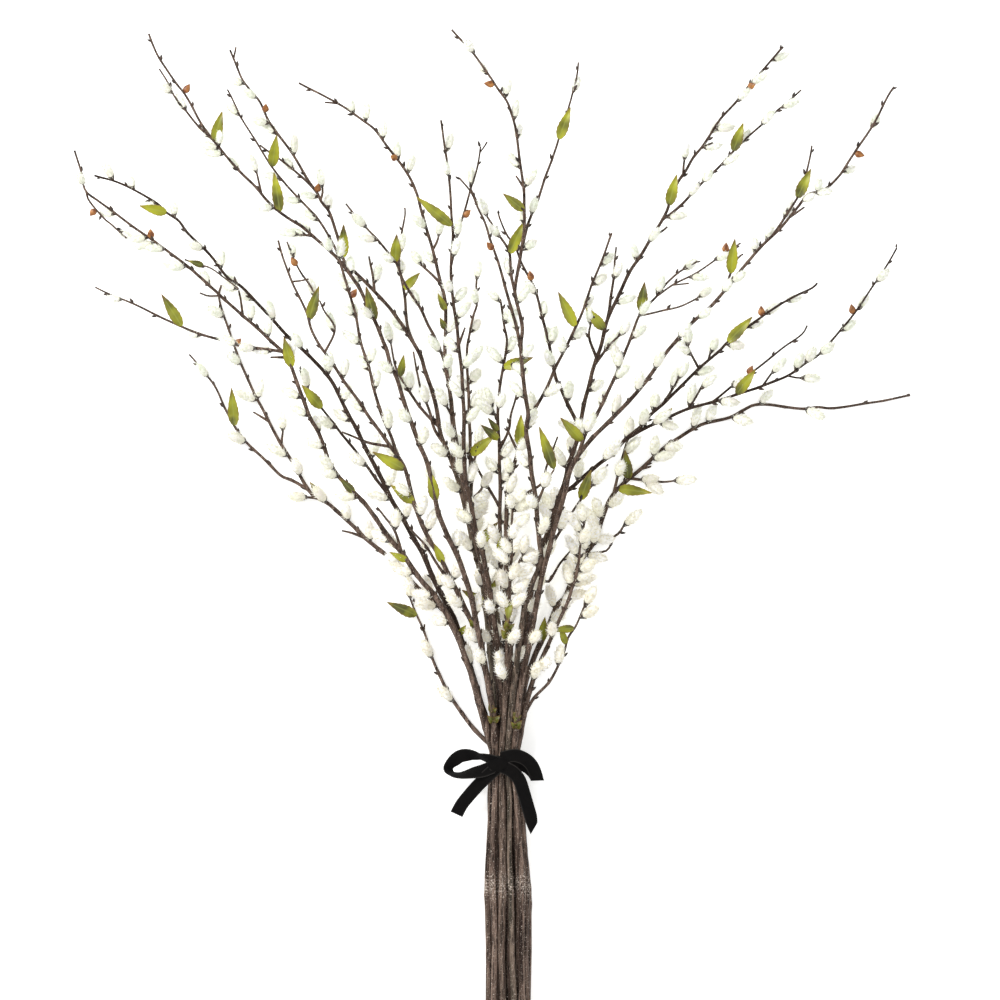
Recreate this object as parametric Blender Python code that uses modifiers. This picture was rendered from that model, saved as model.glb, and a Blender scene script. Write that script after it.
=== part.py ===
"""A bunch of cut pussy willow twigs, tied with one velvet ribbon and laid on a surface.

The bunch lies on its back: the cut ends point to -Y, the tips fan out to +Y and the bow is on top.
The origin is the flat underside of the ribbon, below the middle of the tie.
Each stem is one solid with its side twigs, catkins, leaves and bud scales grown onto it.
The routes are read by eye from a picture of the bunch, in its pixels, with x to the right and
y downward, and one pixel stands for 1.2 mm of the real bunch.
"""
import math
import random

import bmesh
import bpy
import numpy as np
from mathutils import Matrix
from mathutils import Vector

# Driving sizes, in metres
PIXEL = 0.0012
TIE_X_PX = 504.6
TIE_Y_PX = 762.0
FOOT_Y_PX = 1035.0
TIE_SPACING = 0.0074
FOOT_SPACING = 0.01125
FOOT_ROW = 0.0077
TIE_HALF_WIDTH = 0.00355
FOOT_HALF_WIDTH = 0.0045
FOOT_X_PX = 508.5
KNEE_X_PX = 507.8
KNEE_Y_PX = 892.0
TIP_RADIUS = 0.0012
# How the leaders thin towards their tips: 1 is an even taper, more thins them sooner
LEADER_TAPER = 1.1
TWIG_BASE_RADIUS = 0.0018
TWIG_TIP_RADIUS = 0.0008
# A twig is at most this share of its parent's radius
TWIG_SHARE = 0.8
RIBBON_WIDTH = 0.016
RIBBON_THICKNESS = 0.001
STRAIGHT_AT_TIE = 0.012
GAP = 0.0003
# Every thing that grows keeps this far from the other stems
CLEAR_OF_OTHERS = 0.0006
LEAF_THICKNESS = 0.0007
CATKIN_HALF_WIDTH = 0.0064
CATKIN_LENGTH = (0.020, 0.026)
CATKIN_NECK = 0.0034
# Where a catkin's shoulder and belly begin, and the shoulder's share of the belly's width
SHOULDER_AT = 0.3
BELLY_AT = 0.48
SHOULDER_SHARE = 0.82
# Catkins are this much larger low down in the bunch than in its tips
CATKIN_GAIN = 0.2
TIPS_Y_PX = 250.0
LOW_Y_PX = 480.0
# A root starts this share of the wood's radius out from its middle line
ROOT_OFF_CENTRE = 0.35
# and this share of its own length back down the wood from where its middle stands
ROOT_BACK = 0.42
# The belly of a catkin stands this far off its wood
CATKIN_CLEAR = 0.001
CATKIN_WIDTHS = (0.88, 1.08)
# Which side of the wood a catkin sits on, from 1 on top to -1 underneath: the first choice is
# drawn from these, and the others are tried in turn where that one isn't clear
CATKIN_FIRST_TURNS = (1.0, 1.0, 0.6, -0.8)
CATKIN_TURNS = (1.0, -1.0, 0.5, -0.5, 0.0)
# A spindle of few sides is drawn this much fuller, so that its bulk is a round one's
SPINDLE_FULL = 1.12
# Its two rings: how far along it each lies, and its share of the full width
LOW_RING = (0.30, 0.70)
HIGH_RING = (0.68, 1.0)
CATKIN_SIDES = 4
# The solid keeps one catkin in this many
CATKIN_SHARE = 2
SCALE_SIDES = 4
SCALE_SIZE = (0.013, 0.0036)
SCALE_FIRST_TURN = (0.2, 0.8)
SCALE_TURNS = (-0.6, 1.0, 0.0)
# This much of a scale's root is sunk in its own wood
SCALE_SUNK = 0.002
LEAF_SLENDER = 0.19
LEAF_HALF_WIDTH = (0.0040, 0.0068)
# How far a leaf's tip rises, as a share of its length: drawn between these, or the next that is clear
LEAF_RISE = (0.15, 0.45)
LEAF_RISES = (0.7, -0.6, 0.0, 1.0)
# The room that a leaf takes: a rod along the middle of its blade and a thin one along its rib
BLADE_FROM = 0.25
BLADE_TO = 0.75
BLADE_SHARE = 0.9
RIB_RADIUS = 0.001
LEAF_ARCH = 0.06
LEAF_FOLD = 0.35
# How far along the blade each row of points lies, and its share of the full width
LEAF_ROWS = ((0.33, 0.95), (0.66, 0.85))
LONG_TWIG = 0.2
LONG_TWIG_RADIUS = 0.0026
# Millimetres that a twig's tip may be bent up or down, tried in this order
TWIG_BENDS = (0, 8, -8, 16, -16, 24, -24, 34, -34, 46, -46)
WOOD_TURN = math.radians(30)
KNOT_X_PX = 498.0
KNOT_Y_PX = 764.0
KNOT_SIZE = (0.026, 0.018, 0.008)
KNOT_TURN = math.radians(12)
# The knot's corners are cut by this share of its sides
KNOT_ROUNDING = 0.28
KNOT_GAP = 0.0007
# The corners of the ribbon's turn round the stems, as (in from its side, up from its bottom) and
# (in from its side, down from its top)
WRAP_LOW_CORNER = ((0.0036, 0.0), (0.0007, 0.001), (0.0, 0.0022))
WRAP_HIGH_CORNER = ((0.0, 0.0085), (0.001, 0.0065), (0.0037, 0.0019), (0.0074, 0.0))

# A hexagon is wider across its corners than across its flats by this much
CORNER = 1 / math.cos(math.pi / 6)
LEADER_STEP = 0.08
TWIG_STEP = 0.055
# A smooth curve is worked out in pieces of this share of the way between two of its points
CURVE_PIECE = 0.1
# Two rods are measured apart from this many places along the first
ROD_PLACES = 7
WELD = 0.00001
SHARP_ANGLE = math.radians(40)
SEED = 7

BARK = (0.085, 0.058, 0.042)
VELVET = (0.006, 0.005, 0.005)

# Each stem: its place in the tie (row from the bottom, column in half steps from the middle),
# how many millimetres it rises for each metre beyond the tie, its leader, its side twigs
# (route, then how far the tip is above or below the start in millimetres), the middles of its
# catkins, its leaves (root and tip) and its russet bud scales.
STEMS = {
    "stem_left_low": {
        "cell": (1, -4), "rise": -3,
        "leader": "482,715 474,685 465,655 455,632 445,613 432,600 415,585 400,567 388,556 365,538 "
                  "352,525 330,505 315,497 307,487 291,460 275,433 262,408 247,378 236,350 226,322 "
                  "219,297 222,283",
        "twigs": [("310,490 292,480 280,475 260,455 240,435 226,410 215,387 197,363 188,353", -2.9),
                  ("218,297 208,296 198,292", 4), ("268,422 252,411", 6), ("283,443 284,424", 8),
                  ("315,500 302,497", 5),
                  ("489,745 480,735 463,715 447,690 435,665 427,640 422,627 416,613 411,600 406,588", -1),
                  ("422,632 425,622", 4), ("365,538 352,533 340,530", 4)],
        "catkins": "202,372 237,440 247,400 281,411 291,493 217,315 236,362 263,392 445,695 427,650 "
                   "427,610 325,497 350,513 375,530 400,570 430,590 411,588 450,620 300,470 280,455",
        "leaves": ["232,428 232,388", "328,500 310,482", "416,616 387,602"],
        "scales": "238,343",
    },
    "stem_left_second": {
        "cell": (1, -2), "rise": 40,
        "leader": "496,720 494,690 490,650 486,610 480,570 473,545 468,520 462,495 455,470 447,450 "
                  "441,435 437,410 431,388 425,370 420,355 407,332 397,318 388,306 378,295 365,282 "
                  "355,272 345,262 340,245 337,235 330,213 322,203 317,193 310,183 300,166 291,152 "
                  "281,138 268,120 260,102 247,86 241,77 233,57 230,49",
        "twigs": [("316,192 303,178 280,160 259,145", 20), ("322,200 323,192 322,181", 8),
                  ("234,60 237,46", 3),
                  ("437,428 427,415 410,393 397,370 391,345 389,335", -12),
                  ("436,448 435,430 430,412 421,390 418,375 413,350", 16),
                  ("452,468 452,420 448,375 436,340 428,325 420,308 410,292 403,280 397,265 390,255 "
                   "378,240 365,227 345,203", 30),
                  ("376,290 373,275 369,255", 12),
                  ("412,345 408,328 405,300 402,280 399,262 401,240 405,215 404,206", -16)],
        "catkins": "290,165 318,172 389,328 403,385 412,382 402,268 402,245 361,222 378,276 240,84 "
                   "263,125 331,205 364,243 433,347 252,98 275,132 297,150 309,200 352,285 400,330 "
                   "425,395 440,455 452,490 462,520 470,548 480,585 447,372 415,300 384,262",
        "leaves": ["405,375 404,355", "396,262 397,235", "350,255 344,225", "405,290 420,273",
                   "480,604 462,590"],
        "scales": "267,110 318,190 396,258",
    },
    "stem_middle_low": {
        "cell": (1, 0), "rise": 60,
        "leader": "505,700 502,650 496,610 487,575 478,550 473,530 471,500 471,470 470,440 469,410 "
                  "468,380 467,350 469,337 474,315 477,305 476,290 477,277",
        "twigs": [("471,470 476,455 480,440", 10), ("472,500 481,490 486,480", 12)],
        "catkins": "478,268 485,500 485,515 474,330 477,360 463,388 476,405 478,432 463,450 486,478 "
                   "480,530 484,556 497,585 505,600 498,640 476,380 470,300",
        "leaves": ["480,545 498,522", "478,597 495,580", "480,640 460,625", "472,455 495,435"],
        "scales": "",
    },
    "stem_right_second": {
        "cell": (1, 2), "rise": 40,
        "leader": "515,700 522,660 530,620 538,590 545,560 553,520 563,495 572,487 582,478 592,470 "
                  "600,463 613,453 625,440 640,427 650,415 662,405 672,395 687,380 702,366 720,350 "
                  "728,342 757,320 775,308 795,296 812,288 818,282",
        "twigs": [("626,440 640,431 652,425 680,412 705,404 730,397 762,386 785,377 803,365 817,356 "
                   "830,342 845,325 856,310 870,290 882,272 893,254 897,247", 25),
                  ("762,385 770,375 777,368", 10), ("787,376 797,378 808,378", -6),
                  ("712,400 730,388 748,375 768,360 785,346 802,334 808,324", -16),
                  ("685,355 688,347 692,340", 8), ("687,407 697,395 705,380", 14),
                  ("706,358 710,353 713,348", -8), ("667,410 675,385 680,372", 10)],
        "catkins": "752,328 808,354 848,328 882,278 605,455 652,405 660,418 683,350 685,365 700,375 "
                   "728,404 695,333 710,383 717,342 782,364 818,377 768,312 790,302 735,350 610,450 "
                   "640,420 672,380 670,430 690,398 740,385 795,358 826,350 862,303 556,500 574,470",
        "leaves": ["735,392 755,370", "727,343 752,317", "672,440 672,408"],
        "scales": "750,370 761,312 851,308",
    },
    "stem_right_low": {
        "cell": (1, 4), "rise": -5.3,
        "leader": "524,690 533,660 541,643 547,630 552,617 558,605 565,597 570,585 577,570 583,558 "
                  "590,548 597,535 602,520 608,503 615,492 628,480 645,465 660,451 680,437 700,425 "
                  "728,418 745,409 755,405 772,405 803,409 817,407 830,408 850,406 875,402 912,395",
        "twigs": [("612,492 618,475 625,447 629,432", 12), ("630,478 650,481 664,482 683,479", 3),
                  ("640,468 653,466", 5), ("603,543 617,535 628,517", 6), ("592,557 606,551 611,544", 5)],
        "catkins": "763,403 810,411 737,422 708,416 693,420 637,448 670,451 650,478 593,510 575,540 "
                   "590,537 597,561 566,568 583,585 630,422 690,477 660,460 632,508 600,540 613,505 "
                   "622,470 648,440 655,492 583,520 577,560 572,600 556,620 548,600",
        "leaves": ["620,490 652,493", "627,478 625,450", "543,643 545,617"],
        "scales": "",
    },
    "stem_left_third": {
        "cell": (2, -3), "rise": 75,
        "leader": "485,715 480,700 472,672 463,645 455,620 447,605 438,588 430,570 422,552 412,535 "
                  "402,517 392,500 385,485 377,470 368,452 357,430 348,413 340,397 333,383 325,372 "
                  "307,354 285,333 262,308 243,288 229,279 213,258 190,235 180,222 168,214 155,202 "
                  "120,184 94,176",
        "twigs": [("390,500 372,473 352,446 340,432 322,408 312,395 304,383 300,368", -18)],
        "catkins": "235,283 228,258 177,212 113,176 310,378 135,184 150,210 200,250 250,300 275,315 "
                   "300,345 333,365 350,395 325,425 345,420 378,450 395,480 410,512 430,545 445,580 "
                   "470,662 358,462 383,500",
        "leaves": ["168,214 141,207", "318,412 302,385", "450,637 466,625"],
        "scales": "",
    },
    "stem_arc": {
        "cell": (2, -1), "rise": 90,
        "leader": "500,715 498,680 494,640 488,600 483,570 476,540 470,515 465,490 460,465 456,440 "
                  "452,410 449,385 446,365 445,350 446,325 445,300 442,287 438,272 434,255 431,243 "
                  "427,230 421,210 418,197 412,182 403,168 395,157 385,144 375,131 365,123 350,112 "
                  "338,105 320,95 308,89 298,84",
        "twigs": [("434,250 437,243 441,230", 10), ("441,285 428,271 417,262", -12),
                  ("338,106 324,104", 6), ("450,418 443,400", 10)],
        "catkins": "438,225 413,250 370,115 411,170 421,227 450,365 450,435 355,108 385,135 400,155 "
                   "430,262 437,300 452,330 441,395 462,470 474,510 488,560 494,600 482,640",
        "leaves": ["442,330 440,318", "438,312 438,294"],
        "scales": "395,160",
    },
    "stem_middle_fork": {
        "cell": (2, 1), "rise": 100,
        "leader": "508,700 506,650 503,600 501,560 500,520 500,480 499,440 498,405 502,375 505,357 "
                  "507,340 504,325 501,305 500,298",
        "twigs": [("503,372 512,364 522,378 526,392", 16), ("506,450 509,430 511,415 515,400 517,389", 14),
                  ("498,422 493,410 488,401", -12), ("500,508 490,490 478,470 470,455 460,445", -20)],
        "catkins": "518,380 488,395 485,410 493,300 507,318 512,320 503,405 497,567 503,568 500,638 "
                   "507,643 509,350 495,360 507,455 492,470 506,480 508,520 495,540 508,585 505,620",
        "leaves": ["505,368 533,358", "499,440 481,425", "500,562 500,535", "498,432 488,418"],
        "scales": "",
    },
    "stem_right_trunk": {
        "cell": (2, 3), "rise": 110,
        "leader": "517,700 521,660 524,640 527,620 530,600 533,585 538,570 541,555 545,540 550,525 "
                  "555,510 560,495 565,480 568,465 572,455 577,440 581,420 585,400 589,385 592,372 "
                  "597,358 601,345 604,330 608,318 614,305 620,292 631,270 641,255 655,232 662,220 "
                  "667,210 671,197 678,182 685,172 692,160 700,150 706,141 718,123 732,107 748,88 "
                  "765,68 783,48",
        "twigs": [("662,222 680,207 697,188 715,172 732,153 752,134 778,111 801,91", 25),
                  ("606,322 609,310 611,295 614,270 615,258 616,246", -14),
                  ("655,238 662,232 668,227", 8), ("700,150 706,147 713,144", 8),
                  ("681,175 683,165 685,155", 8), ("594,365 602,355 612,343 623,332", 12),
                  ("592,358 589,337 592,318", 12),
                  ("577,428 573,415 567,403 561,390 556,380 553,365 550,350 545,328 541,312 537,297 "
                   "533,285 526,272 520,260 515,247 507,235 500,220 497,210", -24),
                  ("541,565 553,543 570,515 590,488 609,463", 20),
                  ("538,572 548,582 560,563 572,549", -14)],
        "catkins": "618,273 677,220 713,133 725,135 687,146 630,322 592,308 789,108 728,163 550,338 "
                   "557,335 775,63 633,257 573,390 555,460 570,450 545,505 543,515 540,588 "
                   "754,85 740,100 710,150 690,190 650,240 625,305 610,345 597,390 566,430 580,460 "
                   "560,520 548,550 533,610 705,178 742,140 765,120 545,310 530,290 598,478",
        "leaves": ["730,152 742,125", "669,208 676,176", "602,330 585,308", "580,500 591,470"],
        "scales": "749,89 530,277",
    },
    "stem_far_left": {
        "cell": (3, -4), "rise": 130,
        "leader": "484,715 478,695 470,670 462,648 453,625 436,597 423,582 412,567 402,553 390,538 "
                  "375,517 365,503 355,493 345,483 338,475 330,462 323,443 318,430 312,420 305,403 "
                  "297,380 291,365 284,353 268,338 245,317 225,300 217,292 200,277 180,260 152,240 "
                  "127,222 100,202 88,192 84,175 77,151",
        "twigs": [("283,353 260,349 243,347 230,343 200,334 175,324 140,307 105,292 95,287", -20),
                  ("88,192 92,203 106,220 115,227 130,241", -10), ("245,315 242,300 240,290", 10),
                  ("192,270 185,267 176,270", 6), ("285,360 270,358", 8),
                  ("229,285 215,271 200,266 185,260", 14), ("404,552 395,530 385,517 376,506", 10)],
        "catkins": "115,301 192,335 143,243 143,256 235,290 168,268 260,355 396,520 88,180 113,217 "
                   "160,253 210,282 258,310 273,328 290,358 295,398 318,430 315,448 333,465 335,475 "
                   "348,500 385,540 395,545 391,563 405,575 128,235 178,272 228,340 245,350 302,415 "
                   "420,600 440,625",
        "leaves": ["182,326 163,295", "355,493 340,478", "298,365 285,338", "405,563 390,552",
                   "205,268 190,262"],
        "scales": "95,213 153,237",
    },
    "stem_inner_left": {
        "cell": (3, -2), "rise": 140,
        "leader": "494,715 488,680 480,640 470,618 455,587 440,557 430,540 421,522 413,498 407,475 "
                  "402,462 388,443 377,427 368,415 358,400 345,382 337,370 327,355 320,345 312,330 "
                  "308,315 303,303 298,293 293,283 288,270 284,258 279,240",
        "twigs": [("314,318 316,300 313,290 303,276 298,267 294,258 287,241", -14),
                  ("343,345 336,330 325,312 320,300", 18), ("388,449 370,443 352,436 341,432", 14),
                  ("398,455 391,435 382,415 376,395 370,370 362,345 356,315 349,290 341,265 335,247 "
                   "322,225 305,205 285,184 273,168 258,145 243,120 237,108 228,90", 40),
                  ("292,283 301,282 311,280", 8), ("455,590 438,565 425,545 412,530 400,515", -10)],
        "catkins": "235,113 353,312 376,355 380,380 330,365 362,410 320,325 339,313 396,455 440,520 "
                   "448,583 465,570 295,250 305,290 345,340 350,370 390,420 405,495 425,510 "
                   "270,180 290,205 310,220 343,285 362,365 456,605 472,640",
        "leaves": ["272,170 278,137", "312,320 320,287", "413,503 391,485", "400,472 373,452",
                   "455,557 434,543"],
        "scales": "355,293 296,262",
    },
    "stem_middle_high": {
        "cell": (3, 0), "rise": 160,
        "leader": "503,715 500,680 497,640 491,600 484,560 476,530 470,500 466,480 464,455 464,415 "
                  "462,375 460,355 458,335 454,305 451,275 453,240 452,220 451,200 449,180 447,160 "
                  "444,142 441,121",
        "twigs": [("451,268 457,242 461,225 467,205 472,188 476,175 480,155 481,147", 20),
                  ("480,155 485,148 488,143", 4), ("459,345 466,327", 10)],
        "catkins": "466,315 459,230 471,180 449,150 447,175 458,250 449,290 462,300 452,350 470,365 "
                   "456,395 472,420 458,455 473,480 466,520 482,545 500,667 490,610",
        "leaves": ["450,228 417,199"],
        "scales": "467,215",
    },
    "stem_right_curve": {
        "cell": (3, 2), "rise": 150,
        "leader": "512,700 510,650 508,600 506,560 506,530 507,500 510,478 518,452 525,432 535,410 "
                  "547,387 557,365 568,343 580,318 589,292 598,270 609,241 612,233",
        "twigs": [("537,505 540,485 546,468 552,452 558,435", 10), ("518,452 512,440 506,425", 12)],
        "catkins": "604,265 575,338 541,358 517,508 526,503 519,528 521,553 598,285 585,305 560,350 "
                   "550,395 530,408 522,450 508,470 512,490 514,560 504,585 512,620 518,660",
        "leaves": ["575,328 558,293", "520,447 521,415"],
        "scales": "",
    },
    "stem_right_bushy": {
        "cell": (3, 4), "rise": 150,
        "leader": "526,705 533,680 543,655 556,627 566,605 572,588 577,572 580,545 585,520",
        "twigs": [("523,715 534,698 550,680 563,655 568,637 576,625 584,607 589,598", 12)],
        "catkins": "594,590 592,614 563,607 556,655 545,668 535,675 590,570 572,552 585,540 580,515 "
                   "575,528 566,580 550,632 583,580",
        "leaves": ["567,645 560,626", "575,628 552,630"],
        "scales": "",
    },
    "stem_top_left": {
        "cell": (4, -3), "rise": 200,
        "leader": "493,715 489,690 483,655 478,630 473,605 468,585 460,562 450,540 441,520 438,512 "
                  "434,490 427,462 420,445 415,432 408,412 402,393 397,378 391,365 388,352 383,340 "
                  "377,325 370,310 363,295 356,283 343,265 320,243 305,230 292,222 280,213 268,202 "
                  "258,190 245,177 232,163 217,145 203,125 189,100 180,88 170,74 161,60 152,37",
        "twigs": [("216,146 200,128 190,116 178,101 172,88 161,71", -20), ("264,196 260,180 258,169", 10),
                  ("313,240 292,236", 8)],
        "catkins": "169,93 185,107 252,160 285,234 225,143 213,153 218,160 310,232 343,255 387,372 "
                   "208,135 240,170 270,212 300,235 330,250 352,272 368,318 405,420 425,440 432,480 "
                   "458,545 478,610 480,660",
        "leaves": ["220,143 225,115", "284,212 276,175", "381,320 367,288", "432,503 430,470"],
        "scales": "190,93",
    },
    "stem_middle_bushy": {
        "cell": (4, -1), "rise": 210,
        "leader": "505,700 507,650 509,600 511,560 512,520 513,495",
        "twigs": [("510,580 520,560 530,545", 10), ("511,545 505,530 506,515", 12)],
        "catkins": "533,508 514,535 527,525 530,575 525,590 500,675 520,500 510,505 523,545 498,560 "
                   "512,575 503,605 519,605 515,640 505,550 535,560",
        "leaves": ["505,600 508,622", "515,640 522,632"],
        "scales": "",
    },
    "stem_top_arc": {
        "cell": (4, 1), "rise": 200,
        "leader": "512,700 517,660 521,630 526,600 533,580 541,562 539,540 537,515 535,495 531,470 "
                  "529,450 526,430 528,415 526,400 522,370 521,345 522,328 516,300 515,290 518,270 "
                  "521,255 524,230 524,200 522,180 520,165 518,150 515,130 511,115 507,105 498,93 "
                  "490,80 475,60 464,47 451,33",
        "twigs": [("521,252 528,226 538,200 545,180 552,160 558,143 568,110 572,97 576,80 578,63", -30),
                  ("519,355 517,330 511,310 503,280 495,255 490,240 485,225 478,210 472,195 458,179", 24),
                  ("514,300 511,275 509,254 500,238 487,218 478,205 470,188", -20),
                  ("521,190 515,177", 6), ("538,505 545,485 555,468", 12)],
        "catkins": "470,54 504,98 518,138 514,168 533,210 575,88 485,210 493,235 484,75 512,120 "
                   "530,185 520,222 528,250 510,270 525,300 512,325 530,355 518,395 534,425 525,465 "
                   "545,480 530,505 545,530 528,560",
        "leaves": ["523,213 503,196", "510,255 524,223", "558,142 570,110", "553,455 539,427"],
        "scales": "490,88 490,248",
    },
    "stem_right_leader": {
        "cell": (4, 3), "rise": 210,
        "leader": "519,700 526,660 532,630 537,600 541,580 546,560 551,540 558,515 565,492 572,465 "
                  "588,443 608,422 630,400 650,375 668,350 690,325 705,312 716,300 730,284 742,268 "
                  "760,248 780,228 795,210 805,197 821,193 835,180 845,165 862,140 875,118 885,98 891,90",
        "twigs": [("770,238 787,213 800,190 804,175 807,160 809,147", 16), ("788,222 803,209", 8),
                  ("577,455 586,432 600,408 612,382 623,357 632,333 638,318 645,308 655,298 664,286 "
                   "680,272 698,261", -36),
                  ("655,298 672,286 695,274 715,261 723,255 741,243", 14), ("672,286 690,284", 6),
                  ("640,318 660,312 680,307 703,295", -10), ("717,290 735,262 743,255", -16)],
        "catkins": "813,190 820,200 806,207 784,213 751,250 722,292 722,259 656,283 645,312 610,355 "
                   "616,362 700,282 708,287 868,128 840,172 765,240 735,282 700,318 680,335 655,365 "
                   "635,385 612,410 594,428 640,335 622,375 600,400 580,430 690,268 535,640",
        "leaves": ["797,203 808,172", "638,312 644,283", "731,277 733,241", "573,440 560,418"],
        "scales": "855,157 725,247",
    },
}


# The bow's strips: middle points (x and y in pixels, height in millimetres), the way the ribbon's
# width points in the picture (degrees from +X) and how much of that width is upright.
BOW = {
    "left_loop": [(497, 762, 35, 90, 0.3), (489, 758.5, 35.5, 92, 0.7), (480, 756, 35, 96, 0.9),
                  (470, 754.3, 34, 100, 0.62), (460, 756, 32, 112, 0.15), (453, 761.5, 30.5, 135, 0.25),
                  (448.5, 767.5, 29.5, 170, 0.6), (450, 772, 29.5, 205, 0.9), (456, 774.5, 30, 240, 0.85),
                  (463, 774.3, 31, 262, 0.7), (472, 772.5, 32.5, 275, 0.45), (482, 770.5, 34, 282, 0.2),
                  (494, 766, 35, 280, 0.15)],
    "right_loop": [(500, 758, 35, 90, 0.1), (514, 755, 35.5, 86, 0.05), (524, 758, 34.5, 62, 0.05),
                   (531, 764, 31.5, 36, 0.0), (535, 772, 27, 12, 0.0), (537, 779.5, 23, 2, 0.0),
                   (537, 779, 20.5, 2, 0.0), (531, 771, 22, 20, 0.05), (523, 765.5, 27.5, 50, 0.1),
                   (513, 763, 33, 82, 0.1), (502, 764, 34.5, 90, 0.1)],
    "left_tail": [(498, 766, 35, 125, 0.1), (487, 776, 34, 135, 0.1), (478, 785, 30, 136, 0.15),
                  (470, 794, 24.5, 140, 0.2), (462, 804, 17, 144, 0.25), (456.5, 814, 10, 155, 0.25)],
    "right_tail": [(502, 766, 35, 55, 0.1), (512, 771, 34.5, 40, 0.0), (519, 779, 33.5, 22, -0.15),
                   (523, 790, 32, 15, -0.25), (528, 807, 29, 15, -0.25), (534, 828, 26, 60, -0.2)],
}


def clear_the_scene():
    for old in list(bpy.data.objects):
        bpy.data.objects.remove(old, do_unlink=True)


def new_collection(name):
    collection = bpy.data.collections.new(name)
    bpy.context.scene.collection.children.link(collection)
    return collection


def plain_material(name, colour, roughness):
    material = bpy.data.materials.new(name)
    material.use_nodes = True
    shader = material.node_tree.nodes["Principled BSDF"]
    shader.inputs["Base Color"].default_value = (*colour, 1)
    shader.inputs["Roughness"].default_value = roughness
    return material


def pixels(text):
    """The points of a route, or a list of places, as pixel pairs."""
    return [tuple(float(v) for v in pair.split(",")) for pair in text.split()]


def place(px, py, height=0.0):
    """A point of the picture in metres from the tie, at a height above the surface."""
    return np.array([(px - TIE_X_PX) * PIXEL, (TIE_Y_PX - py) * PIXEL, height])


# The tie packs the stems like pencils, each row half a stem's width beside the one below
def tie_point(cell):
    row, column = cell
    low = RIBBON_THICKNESS + GAP + TIE_HALF_WIDTH * CORNER
    height = low + (row - 1) * TIE_SPACING * math.sqrt(3) / 2
    return np.array([column / 2 * TIE_SPACING, 0.0, height])


# Below the tie the stems spread to a knee, and from there they lie side by side to their cut ends
def low_point(cell, px, py):
    row, column = cell
    middle = place(px, py)
    height = FOOT_HALF_WIDTH * CORNER + (row - 1) * FOOT_ROW
    return np.array([middle[0] + column / 2 * FOOT_SPACING, middle[1], height])


def smooth(points, step):
    """Points a step apart on a smooth curve through the given ones."""
    points = np.array(points)
    ends = np.vstack([2 * points[0] - points[1], points, 2 * points[-1] - points[-2]])
    curve = []
    for a, b, c, d in zip(ends, ends[1:], ends[2:], ends[3:]):
        for t in np.arange(0, 1, CURVE_PIECE):
            curve.append(0.5 * (2 * b + (c - a) * t + (2 * a - 5 * b + 4 * c - d) * t ** 2
                                + (3 * b - a - 3 * c + d) * t ** 3))
    curve = np.array(curve + [points[-1]])
    along = np.concatenate([[0], np.cumsum(np.linalg.norm(np.diff(curve, axis=0), axis=1))])
    count = max(2, round(along[-1] / step) + 1)
    wanted = np.linspace(0, along[-1], count)
    return np.column_stack([np.interp(wanted, along, curve[:, i]) for i in range(3)])


class Branch:
    """A length of wood: its middle line, from the base to the tip, and its radius at each point."""

    def __init__(self, points, radii):
        self.points = points
        self.radii = radii

    def nearest(self, spot):
        """How far the branch is from a spot as seen from above, and where along it that is."""
        start, end = self.points[:-1, :2], self.points[1:, :2]
        run = end - start
        share = np.einsum("ij,ij->i", spot - start, run) / np.einsum("ij,ij->i", run, run)
        share = np.clip(share, 0, 1)
        away = np.linalg.norm(start + share[:, None] * run - spot, axis=1)
        best = int(np.argmin(away))
        return away[best], best + share[best]

    def at(self, where):
        low = min(int(where), len(self.points) - 2)
        share = where - low
        return self.points[low] * (1 - share) + self.points[low + 1] * share

    def radius_at(self, where):
        return float(np.interp(where, range(len(self.radii)), self.radii))

    def direction(self, where):
        low = min(int(where), len(self.points) - 2)
        run = self.points[low + 1] - self.points[low]
        return run / np.linalg.norm(run)


class Room:
    """The space that is taken, as round-ended rods, each belonging to one stem."""

    def __init__(self):
        self.start, self.end, self.radius, self.owner = [], [], [], []

    def take(self, owner, start, end, radius):
        self.start.append(start)
        self.end.append(end)
        self.radius.append(radius)
        self.owner.append(owner)

    def free(self, owner, start, end, radius):
        """The least distance to another stem's rods or the surface, less the clearance."""
        above = min(start[2], end[2]) - radius
        others = [i for i, name in enumerate(self.owner) if name != owner]
        if not others:
            return above
        p, q = np.array(self.start)[others], np.array(self.end)[others]
        gaps = rod_distance(start, end, p, q) - np.array(self.radius)[others] - radius
        return min(above, float(gaps.min()) - CLEAR_OF_OTHERS)


def rod_distance(start, end, starts, ends):
    """The least distance between one straight line piece and each of several."""
    best = np.full(len(starts), np.inf)
    for t in np.linspace(0, 1, ROD_PLACES):
        spot = start + (end - start) * t
        run = ends - starts
        share = np.einsum("ij,ij->i", spot - starts, run) / np.einsum("ij,ij->i", run, run)
        near = starts + np.clip(share, 0, 1)[:, None] * run
        best = np.minimum(best, np.linalg.norm(near - spot, axis=1))
    return best


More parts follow.
